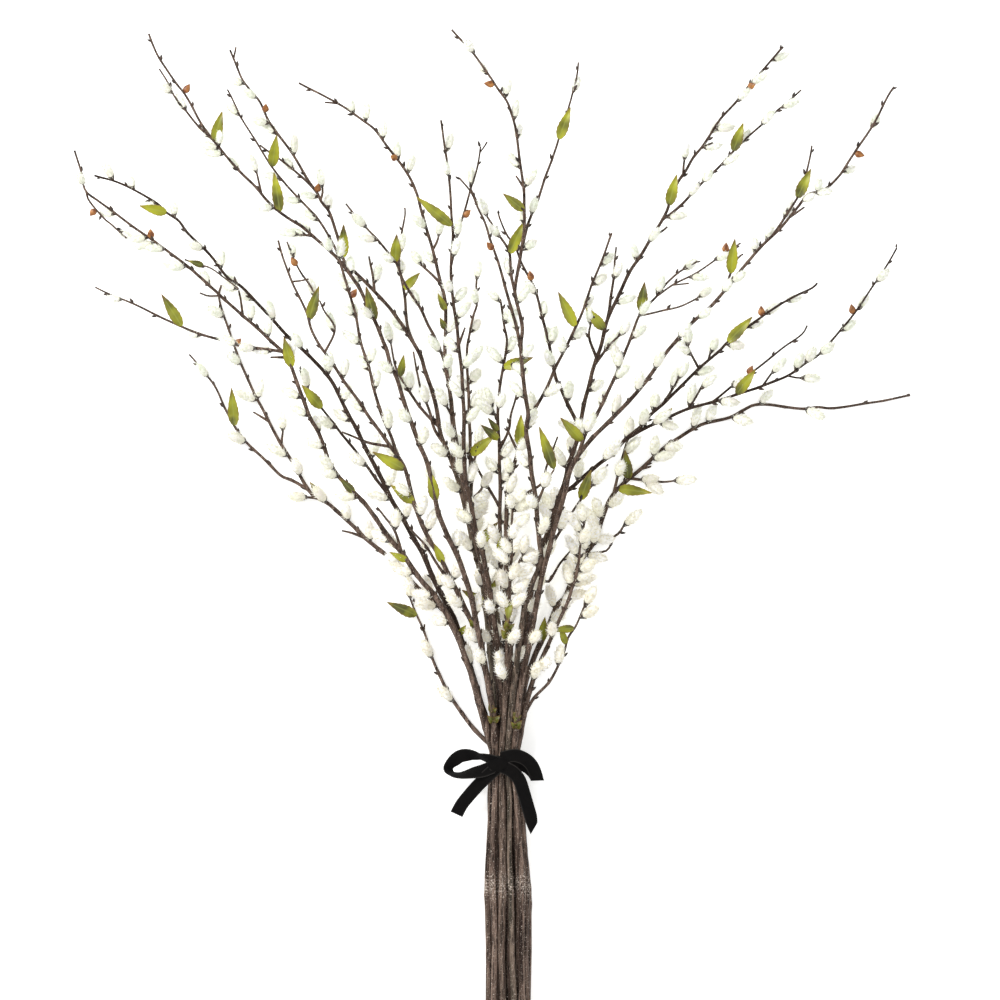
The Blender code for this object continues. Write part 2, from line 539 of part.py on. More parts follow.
def leader_branch(stem):
    """The main wood of a stem: cut end, straight through the tie, then out along its route."""
    tie = tie_point(stem["cell"])
    foot = low_point(stem["cell"], FOOT_X_PX, FOOT_Y_PX)
    knee = low_point(stem["cell"], KNEE_X_PX, KNEE_Y_PX)
    above = tie + np.array([0, STRAIGHT_AT_TIE, 0])
    below = tie - np.array([0, STRAIGHT_AT_TIE, 0])
    route = [above]
    travelled = 0.0
    for px, py in pixels(stem["leader"]):
        spot = place(px, py)
        travelled += float(np.linalg.norm(spot[:2] - route[-1][:2]))
        spot[2] = tie[2] + stem["rise"] * 0.001 * travelled
        route.append(spot)
    curve = smooth(route, LEADER_STEP)
    points = np.vstack([foot, knee, below, curve])
    share = np.linspace(0, 1, len(curve))
    foot_radius, tie_radius = FOOT_HALF_WIDTH * CORNER, TIE_HALF_WIDTH * CORNER
    radii = [foot_radius, foot_radius, tie_radius]
    radii += [float(tie_radius * (1 - s) ** LEADER_TAPER + TIP_RADIUS * s) for s in share]
    return Branch(points, radii)


def nearest_branch(spot, branches):
    """The branch that lies nearest a spot as seen from above, and where along it that is."""
    found = [(*branch.nearest(spot), number) for number, branch in enumerate(branches)]
    away, where, number = min(found)
    return away, where, branches[number]


def twig_branch(name, text, rise, parents, room):
    """A side twig that starts on the nearest wood of its own stem, bent clear of the others."""
    spots = pixels(text)
    where, parent = nearest_branch(place(*spots[0])[:2], parents)[1:]
    base = parent.at(where)
    flat = [place(px, py) for px, py in spots[1:]]
    lengths = np.cumsum([np.linalg.norm(b[:2] - a[:2]) for a, b in zip([base] + flat, flat)])
    long = lengths[-1] > LONG_TWIG
    thick = min(LONG_TWIG_RADIUS if long else TWIG_BASE_RADIUS, TWIG_SHARE * parent.radius_at(where))
    best = None
    for bend in TWIG_BENDS:
        route = [base]
        for spot, length in zip(flat, lengths):
            height = base[2] + (rise + bend) * 0.001 * length / lengths[-1]
            route.append(np.array([spot[0], spot[1], height]))
        points = smooth(route, TWIG_STEP)
        radii = list(np.linspace(thick, TWIG_TIP_RADIUS, len(points)))
        spare = min(room.free(name, a, b, max(r, s))
                    for a, b, r, s in zip(points, points[1:], radii, radii[1:]))
        if best is None or spare > best[0]:
            best = (spare, Branch(points, radii))
        if spare > 0:
            break
    return best[1]


def take_wood(name, branch, room):
    for a, b, r, s in zip(branch.points, branch.points[1:], branch.radii, branch.radii[1:]):
        room.take(name, a, b, max(r, s))


def grow_wood():
    """Every stem's branches, leaders first, so that each twig knows what it has to miss."""
    room = Room()
    wood = {}
    for name, stem in STEMS.items():
        wood[name] = [leader_branch(stem)]
        take_wood(name, wood[name][0], room)
    for name, stem in STEMS.items():
        for text, rise in stem["twigs"]:
            twig = twig_branch(name, text, rise, wood[name], room)
            wood[name].append(twig)
            take_wood(name, twig, room)
    return wood, room


def stand(root_where, branch, middle, reach, turn, length):
    """The root and the direction of a thing that leans along its wood past a given middle."""
    step = float(np.linalg.norm(branch.points[1] - branch.points[0]))
    on_wood = branch.at(root_where)
    aside = float(np.linalg.norm(middle[:2] - on_wood[:2]))
    depth = math.sqrt(max(reach * reach - aside * aside, 0.0))
    centre = np.array([middle[0], middle[1], on_wood[2] + depth * turn])
    outward = (centre - on_wood) / np.linalg.norm(centre - on_wood)
    back = max(0.0, root_where - ROOT_BACK * length / step)
    root = branch.at(back) + outward * (ROOT_OFF_CENTRE * branch.radius_at(back))
    lean = centre - root
    return root, lean / np.linalg.norm(lean)


def catkin_rods(root, lean, length, half_width):
    """The space of a catkin, as the rods of its neck, its shoulder and its belly."""
    shoulder = root + lean * (SHOULDER_AT * length)
    belly = root + lean * (BELLY_AT * length)
    end = root + lean * (length - half_width)
    return [(root, shoulder, CATKIN_NECK), (shoulder, belly, SHOULDER_SHARE * half_width),
            (belly, end, half_width)]


def grow_catkins(name, stem, branches, room, draw):
    """Catkins as (root, tip, half width), each on the nearest wood and leaning to its tip."""
    grown = []
    for px, py in pixels(stem["catkins"])[::CATKIN_SHARE]:
        gain = 1 + CATKIN_GAIN * min(max((py - TIPS_Y_PX) / (LOW_Y_PX - TIPS_Y_PX), 0.0), 1.0)
        length = gain * draw.uniform(*CATKIN_LENGTH)
        half_width = gain * CATKIN_HALF_WIDTH * draw.uniform(*CATKIN_WIDTHS)
        first_turn = draw.choice(CATKIN_FIRST_TURNS)
        middle = place(px, py)
        where, branch = nearest_branch(middle[:2], branches)[1:]
        reach = half_width * SPINDLE_FULL + branch.radius_at(where) + CATKIN_CLEAR
        for turn in (first_turn, *CATKIN_TURNS):
            root, lean = stand(where, branch, middle, reach, turn, length)
            rods = catkin_rods(root, lean, length, half_width)
            if all(room.free(name, *rod) > 0 for rod in rods):
                for rod in rods:
                    room.take(name, *rod)
                grown.append((root, root + lean * length, half_width))
                break
    return grown


def grow_leaves(name, stem, branches, room, draw):
    """Leaves as (root, tip, half width): the root on the nearest wood, the tip where it points."""
    grown = []
    for pair in stem["leaves"]:
        (px, py), (qx, qy) = pixels(pair)
        start = place(px, py)
        where, branch = nearest_branch(start[:2], branches)[1:]
        root = branch.at(where)
        flat = place(qx, qy)
        length = float(np.linalg.norm(flat[:2] - root[:2]))
        half_width = min(max(LEAF_SLENDER * length, LEAF_HALF_WIDTH[0]), LEAF_HALF_WIDTH[1])
        first = draw.uniform(*LEAF_RISE)
        for rise in (first, -first, *LEAF_RISES):
            tip = np.array([flat[0], flat[1], root[2] + rise * length])
            blade = (root + (tip - root) * BLADE_FROM, root + (tip - root) * BLADE_TO,
                     half_width * BLADE_SHARE)
            rib = (root, tip, RIB_RADIUS)
            if room.free(name, *blade) > 0 and room.free(name, *rib) > 0:
                room.take(name, *blade)
                room.take(name, *rib)
                grown.append((root, tip, half_width))
                break
    return grown


def grow_scales(name, stem, branches, room, draw):
    """Russet bud scales as (root, tip, half width), close against the wood."""
    grown = []
    for px, py in pixels(stem["scales"]):
        middle = place(px, py)
        where, branch = nearest_branch(middle[:2], branches)[1:]
        length, half_width = SCALE_SIZE
        reach = half_width + branch.radius_at(where)
        for turn in (draw.uniform(*SCALE_FIRST_TURN), *SCALE_TURNS):
            root, lean = stand(where, branch, middle, reach, turn, length)
            tip = root + lean * length
            if room.free(name, root + lean * SCALE_SUNK, tip, half_width) > 0:
                room.take(name, root, tip, half_width)
                grown.append((root, tip, half_width))
                break
    return grown


def mesh_object(name, bm):
    mesh = bpy.data.meshes.new(name)
    bm.to_mesh(mesh)
    bm.free()
    return bpy.data.objects.new(name, mesh)


def wood_object(name, branch, rounder):
    """A bevelled curve along the branch, made a mesh with its caps welded."""
    curve = bpy.data.curves.new(name, "CURVE")
    curve.dimensions = "3D"
    curve.bevel_depth = 1.0
    curve.bevel_resolution = 1 if rounder else 0
    curve.use_fill_caps = True
    spline = curve.splines.new("POLY")
    spline.points.add(len(branch.points) - 1)
    for point, spot, radius in zip(spline.points, branch.points, branch.radii):
        point.co = (*spot, 1)
        point.radius = radius
        point.tilt = WOOD_TURN
    rod = bpy.data.objects.new(name, curve)
    bpy.context.scene.collection.objects.link(rod)
    depsgraph = bpy.context.evaluated_depsgraph_get()
    mesh = bpy.data.meshes.new_from_object(rod.evaluated_get(depsgraph))
    wood = bpy.data.objects.new(name, mesh)
    wood.matrix_world = rod.matrix_world
    bpy.data.objects.remove(rod, do_unlink=True)
    bpy.data.curves.remove(curve)
    bm = bmesh.new()
    bm.from_mesh(mesh)
    bmesh.ops.remove_doubles(bm, verts=bm.verts, dist=WELD)
    bmesh.ops.triangulate(bm, faces=bm.faces)
    bm.to_mesh(mesh)
    bm.free()
    return wood


def upright(root, tip):
    """A turn that takes +Z to the line from the root to the tip."""
    return Vector(tip - root).to_track_quat("Z", "Y").to_matrix().to_4x4()


def spindle(name, root, tip, half_width, sides):
    """A catkin or a bud scale: an egg shape with its narrow root sunk in the wood."""
    bm = bmesh.new()
    bmesh.ops.create_uvsphere(bm, u_segments=sides, v_segments=3, radius=1)
    length = float(np.linalg.norm(tip - root))
    for vert in bm.verts:
        at_a_pole = math.hypot(vert.co.x, vert.co.y) < WELD
        if at_a_pole:
            vert.co.z = length if vert.co.z > 0 else 0.0
            continue
        share, width = LOW_RING if vert.co.z < 0 else HIGH_RING
        around = Vector((vert.co.x, vert.co.y)).normalized() * half_width * SPINDLE_FULL * width
        vert.co = (around.x, around.y, share * length)
    bmesh.ops.triangulate(bm, faces=bm.faces)
    bmesh.ops.transform(bm, matrix=Matrix.Translation(Vector(root)) @ upright(root, tip), verts=bm.verts)
    return mesh_object(name, bm)


def leaf(name, root, tip, half_width):
    """A lance-shaped blade, folded a little along its rib and arched, of an even thickness."""
    run = Vector(tip - root)
    length = run.length
    along = run.normalized()
    across = along.cross(Vector((0, 0, 1))).normalized()
    up = across.cross(along)
    bm = bmesh.new()
    start = bm.verts.new(Vector(root))
    rows = []
    for share, width in LEAF_ROWS:
        arch = up * (math.sin(math.pi * share) * LEAF_ARCH * length)
        middle = Vector(root) + along * (share * length) + arch
        edge = across * (half_width * width)
        fold = up * (half_width * width * LEAF_FOLD)
        rows.append([bm.verts.new(middle + side * edge + abs(side) * fold) for side in (-1, 0, 1)])
    end = bm.verts.new(Vector(tip))
    faces = [bm.faces.new((start, rows[0][i + 1], rows[0][i])) for i in (0, 1)]
    for low, high in zip(rows, rows[1:]):
        for i in (0, 1):
            a, b, c, d = low[i], low[i + 1], high[i + 1], high[i]
            faces.append(bm.faces.new((a, b, c)))
            faces.append(bm.faces.new((a, c, d)))
    faces += [bm.faces.new((end, rows[-1][i], rows[-1][i + 1])) for i in (0, 1)]
    bmesh.ops.recalc_face_normals(bm, faces=bm.faces)
    bmesh.ops.solidify(bm, geom=faces, thickness=LEAF_THICKNESS)
    bmesh.ops.triangulate(bm, faces=bm.faces)
    bmesh.ops.recalc_face_normals(bm, faces=bm.faces)
    return mesh_object(name, bm)


def fuse(name, pieces, collection, material):
    """One Boolean union of the pieces into the first, whose own solid body they then are."""
    trunk, extras = pieces[0], pieces[1:]
    collection.objects.link(trunk)
    joined = new_collection(name + "_pieces")
    for extra in extras:
        joined.objects.link(extra)
    union = trunk.modifiers.new("fuse", "BOOLEAN")
    union.operation = "UNION"
    union.operand_type = "COLLECTION"
    union.collection = joined
    union.solver = "MANIFOLD"
    depsgraph = bpy.context.evaluated_depsgraph_get()
    mesh = bpy.data.meshes.new_from_object(trunk.evaluated_get(depsgraph))
    for extra in extras:
        bpy.data.objects.remove(extra, do_unlink=True)
    bpy.data.collections.remove(joined)
    bpy.data.objects.remove(trunk, do_unlink=True)
    bm = bmesh.new()
    bm.from_mesh(mesh)
    bmesh.ops.triangulate(bm, faces=bm.faces)
    bm.to_mesh(mesh)
    bm.free()
    whole = bpy.data.objects.new(name, mesh)
    collection.objects.link(whole)
    mesh.materials.clear()
    mesh.materials.append(material)
    mesh.shade_smooth()
    mesh.set_sharp_from_angle(angle=SHARP_ANGLE)
    return whole


def stem_object(name, stem, branches, room, draw, collection, material):
    pieces = [wood_object(name, branches[0], True)]
    pieces += [wood_object(f"{name}_twig", twig, False) for twig in branches[1:]]
    for root, tip, half_width in grow_leaves(name, stem, branches, room, draw):
        pieces.append(leaf(f"{name}_leaf", root, tip, half_width))
    for root, tip, half_width in grow_catkins(name, stem, branches, room, draw):
        pieces.append(spindle(f"{name}_catkin", root, tip, half_width, CATKIN_SIDES))
    for root, tip, half_width in grow_scales(name, stem, branches, room, draw):
        pieces.append(spindle(f"{name}_scale", root, tip, half_width, SCALE_SIDES))
    return fuse(name, pieces, collection, material)


def strip(name, route, width):
    """A length of ribbon: its middle points in picture pixels with a height in millimetres, and
    which way its width runs at each (across in the picture, and how much of it is upright)."""
    bm = bmesh.new()
    rows = []
    for px, py, height, turn, upright_share in route:
        middle = Vector(place(px, py, height * 0.001))
        flat = math.sqrt(1 - upright_share ** 2)
        across = Vector((math.cos(math.radians(turn)) * flat, math.sin(math.radians(turn)) * flat,
                         upright_share))
        rows.append([bm.verts.new(middle + across * (side * width / 2)) for side in (-1, 1)])
    faces = []
    for low, high in zip(rows, rows[1:]):
        faces.append(bm.faces.new((low[0], low[1], high[1])))
        faces.append(bm.faces.new((low[0], high[1], high[0])))
    bmesh.ops.recalc_face_normals(bm, faces=bm.faces)
    bmesh.ops.solidify(bm, geom=faces, thickness=RIBBON_THICKNESS)
    bmesh.ops.triangulate(bm, faces=bm.faces)
    bmesh.ops.recalc_face_normals(bm, faces=bm.faces)
    return mesh_object(name, bm)


def wrap_outline():
    """The inner side of the ribbon round the stems, half of it, from the bottom to the top."""
    wide, top = tie_half_width() + GAP, tie_height() + GAP
    low = RIBBON_THICKNESS
    outline = [(0.0, low)]
    outline += [(wide - inward, low + up) for inward, up in WRAP_LOW_CORNER]
    outline += [(wide - inward, top - down) for inward, down in WRAP_HIGH_CORNER]
    return outline + [(0.0, top)]


def tie_half_width():
    return 2 * TIE_SPACING + TIE_HALF_WIDTH


def tie_height():
    return tie_point((4, 0))[2] + TIE_HALF_WIDTH * CORNER


def wrap():
    """The turn of ribbon round the stems, an even band with a flat underside."""
    half = wrap_outline()
    ring = half + [(-x, z) for x, z in reversed(half[1:-1])]
    bm = bmesh.new()
    rows = []
    for y in (-RIBBON_WIDTH / 2, RIBBON_WIDTH / 2):
        rows.append([bm.verts.new((x, y, z)) for x, z in ring])
    faces = []
    for i in range(len(ring)):
        j = (i + 1) % len(ring)
        faces.append(bm.faces.new((rows[0][i], rows[0][j], rows[1][j], rows[1][i])))
    bmesh.ops.recalc_face_normals(bm, faces=bm.faces)
    band = mesh_object("ribbon", bm)
    bpy.context.scene.collection.objects.link(band)
    wall = band.modifiers.new("thickness", "SOLIDIFY")
    wall.thickness = RIBBON_THICKNESS
    wall.offset = 1
    wall.use_even_offset = True
    depsgraph = bpy.context.evaluated_depsgraph_get()
    mesh = bpy.data.meshes.new_from_object(band.evaluated_get(depsgraph))
    bpy.data.objects.remove(band, do_unlink=True)
    return bpy.data.objects.new("ribbon", mesh)


def knot():
    """The knot: a rounded cushion of ribbon on top of the wrap."""
    bm = bmesh.new()
    bmesh.ops.create_cube(bm, size=1)
    bmesh.ops.bevel(bm, geom=bm.edges, offset=KNOT_ROUNDING, segments=1, affect="EDGES", profile=0.5)
    middle = place(KNOT_X_PX, KNOT_Y_PX, tie_height() + KNOT_GAP + KNOT_SIZE[2] / 2)
    size = Matrix.Diagonal((*KNOT_SIZE, 1))
    turn = Matrix.Rotation(KNOT_TURN, 4, "Z")
    bmesh.ops.transform(bm, matrix=Matrix.Translation(Vector(middle)) @ turn @ size, verts=bm.verts)
    return mesh_object("knot", bm)


def ribbon_object(collection, material):
    pieces = [wrap(), knot()]
    pieces += [strip(name, route, RIBBON_WIDTH) for name, route in BOW.items()]
    return fuse("ribbon", pieces, collection, material)


def main():
    clear_the_scene()
    collection = new_collection("pussy_willow_bunch")
    bark = plain_material("bark", BARK, 0.75)
    velvet = plain_material("black_velvet", VELVET, 0.9)
    wood, room = grow_wood()
    draw = random.Random(SEED)
    for name, stem in STEMS.items():
        stem_object(name, stem, wood[name], room, draw, collection, bark)
    ribbon_object(collection, velvet)


main()
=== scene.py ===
"""A bunch of cut pussy willow twigs tied with black velvet ribbon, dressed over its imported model."""
import math
import random

import bpy
import numpy as np
from mathutils import Matrix
from mathutils import Vector


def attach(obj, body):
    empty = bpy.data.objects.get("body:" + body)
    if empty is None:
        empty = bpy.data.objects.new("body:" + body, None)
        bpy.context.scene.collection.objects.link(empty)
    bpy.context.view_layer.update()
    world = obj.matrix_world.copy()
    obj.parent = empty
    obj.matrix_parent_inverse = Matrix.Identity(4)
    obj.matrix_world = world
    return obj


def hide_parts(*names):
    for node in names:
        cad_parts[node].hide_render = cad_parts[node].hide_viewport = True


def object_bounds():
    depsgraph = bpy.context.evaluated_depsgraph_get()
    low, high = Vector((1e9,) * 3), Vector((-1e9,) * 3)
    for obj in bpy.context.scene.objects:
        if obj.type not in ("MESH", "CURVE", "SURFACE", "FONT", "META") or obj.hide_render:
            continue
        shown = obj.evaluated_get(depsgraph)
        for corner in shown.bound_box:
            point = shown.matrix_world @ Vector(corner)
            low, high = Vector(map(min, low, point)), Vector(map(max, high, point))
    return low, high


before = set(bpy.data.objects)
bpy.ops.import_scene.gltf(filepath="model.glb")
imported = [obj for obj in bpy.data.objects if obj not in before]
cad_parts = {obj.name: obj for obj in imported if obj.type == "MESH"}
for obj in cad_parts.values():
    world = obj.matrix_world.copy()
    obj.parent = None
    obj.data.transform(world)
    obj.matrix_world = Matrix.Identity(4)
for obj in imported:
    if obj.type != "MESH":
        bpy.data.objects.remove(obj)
cad_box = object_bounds()

# The camera, the floor and the light. The bunch lies on a plain white table and is seen straight
# from above, from far off with a long lens, so that high and low stems keep their true places.
VIEW_MIDDLE = (-0.0055, 0.3144)
CAMERA_HEIGHT = 20.0
LENS_MM = 600.0
SENSOR_MM = 36.0
FLOOR_SIZE = 60.0
FLOOR_SHEET = "#f4f4f2"
# The table top is lit a little from within, as a studio light table is, so that shadows stay pale
FLOOR_GLOW = 0.6
bpy.ops.object.select_all(action="DESELECT")
bpy.ops.object.camera_add(location=(*VIEW_MIDDLE, CAMERA_HEIGHT), rotation=(0, 0, 0))
camera = bpy.context.object
camera.data.lens = LENS_MM
camera.data.sensor_width = SENSOR_MM
camera.data.clip_start = 0.1
camera.data.clip_end = 200.0
bpy.context.scene.camera = camera
bpy.context.scene.view_settings.view_transform = "Standard"


def colour(code):
    """An sRGB hex colour as the linear numbers that a shader takes."""
    parts = [int(code[i:i + 2], 16) / 255 for i in (1, 3, 5)]
    return (*[p / 12.92 if p <= 0.04045 else ((p + 0.055) / 1.055) ** 2.4 for p in parts], 1)


def fill(material, sockets, inputs):
    """Sets each socket to its value, or links it to the output that feeds it."""
    for name, value in inputs.items():
        if isinstance(value, bpy.types.NodeSocket):
            material.node_tree.links.new(value, sockets[name])
        else:
            sockets[name].default_value = value


def node(material, kind, inputs, out=0, **settings):
    """Adds a node to a material, with its settings, values and links, and gives one of its outputs."""
    new = material.node_tree.nodes.new("ShaderNode" + kind)
    for name, value in settings.items():
        setattr(new, name, value)
    fill(material, new.inputs, inputs)
    return new.outputs[out]


def new_material(name):
    """A material of that name, and the sockets of its own shader."""
    material = bpy.data.materials.new(name)
    material.use_nodes = True
    return material, material.node_tree.nodes["Principled BSDF"].inputs


bpy.ops.mesh.primitive_plane_add(size=FLOOR_SIZE, location=(0, 0, 0))
floor = bpy.context.object
floor.name = "white_table"
table, shader = new_material("matt white table top")
fill(table, shader, {"Base Color": colour(FLOOR_SHEET), "Roughness": 0.9,
                     "Emission Color": colour(FLOOR_SHEET), "Emission Strength": FLOOR_GLOW})
floor.data.materials.append(table)

world = bpy.data.worlds.new("pale studio")
bpy.context.scene.world = world
world.use_nodes = True
fill(world, world.node_tree.nodes["Background"].inputs, {"Color": colour("#fbfcff"), "Strength": 0.5})
# A large soft lamp at the upper left, as in the picture, and two weak ones: place, width and watts
LAMPS = (((-1.9, 1.5, 2.2), 1.2, 78), ((2.1, 0.9, 2.3), 1.8, 18), ((0.0, -2.2, 2.2), 1.8, 16))
for spot, size, watts in LAMPS:
    bpy.ops.object.light_add(type="AREA", location=spot)
    lamp = bpy.context.object
    lamp.data.shape = "DISK"
    lamp.data.size = size
    lamp.data.energy = watts
    aim = Vector((*VIEW_MIDDLE, 0.05)) - Vector(spot)
    lamp.rotation_euler = aim.to_track_quat("-Z", "Y").to_euler()

# The cut stems and their side twigs. Each is round willow wood under thin bark, cut plainly at the
# foot, a little swollen and bent at its nodes, and pressed against its neighbours in the tie.
# The routes are in pixels of the reference picture, one for every 1.2 mm of the bunch.
PIXEL = 0.0012
TIE_X_PX = 504.6
TIE_Y_PX = 762.0
FOOT_X_PX = 508.5
FOOT_Y_PX = 1035.0
KNEE_X_PX = 507.8
KNEE_Y_PX = 892.0
TIE_SPACING = 0.0074
FOOT_SPACING = 0.01125
FOOT_ROW = 0.0077
TIE_HALF_WIDTH = 0.00355
FOOT_HALF_WIDTH = 0.0045
STRAIGHT_AT_TIE = 0.012
RIBBON_THICKNESS = 0.001
RIBBON_GAP = 0.0003
# A six-sided rod is this much wider over its corners than over its flats
CORNER = 1 / math.cos(math.pi / 6)
TIP_RADIUS = 0.0012
LEADER_TAPER = 1.1
TWIG_BASE_RADIUS = 0.0018
TWIG_TIP_RADIUS = 0.0008
LONG_TWIG = 0.2
LONG_TWIG_RADIUS = 0.0026
TWIG_BENDS = (0, 8, -8, 16, -16, 24, -24, 34, -34, 46, -46)
LEADER_STEP = 0.08
TWIG_STEP = 0.055
# The steps, in metres, that the wood is drawn with, and the length between two nodes of the wood
DRAWN_STEP = 0.005
LOW_STEPS = 48
NODE_LENGTH = (0.022, 0.036)
NODE_SWELL = 0.16
NODE_BEND = 0.0005
NODE_HALF_LENGTH = 0.0035
# Each bend has this share of the full one, and the bends set in over this length of stem or twig
NODE_BENDS = (0.5, 1.0)
STEM_BENDS_EASE = 0.1
TWIG_BENDS_EASE = 0.02
# The wood above this place, in metres past the tie, is young, and bends and swells at its nodes
YOUNG_FROM = 0.02
# Below the tie a stem strays this far to a side and swells or thins this much, over this length
LOW_STRAY = 0.0030
LOW_SWELL = 0.10
LOW_LENGTH = 0.10
LOW_JITTER = 0.012
LOW_FROM = -0.012
LOW_EASE = 0.03
LOW_THINNING = (-0.22, 0.04)
# Old side shoots have left a few knots on each stem below the tie
OLD_KNOTS = 3
OLD_KNOTS_OFF_FOOT = 0.01
OLD_KNOTS_END_Y = -0.05
OLD_KNOT_SWELL = 0.24
OLD_KNOT_LENGTH = 0.006
# Bark thickens the young wood by this much, and each end is drawn back by this share of its last step
BARK_SWELL = 0.00022
FOOT_INSET = 0.08
TIP_INSET = 0.45
# The ring of knots that the old wood has, 147 mm below the tie
KNOT_RING_Y = -0.147
KNOT_RING_SWELL = 0.14
KNOT_RING_LENGTH = 0.004
WOOD_SEED = 11
# Edges that turn by less than this are shaded smooth, and points closer than this become one
SMOOTH_ANGLE = math.radians(50)
WOOD_WELD = 0.00001
THIN_WELD = 0.00005

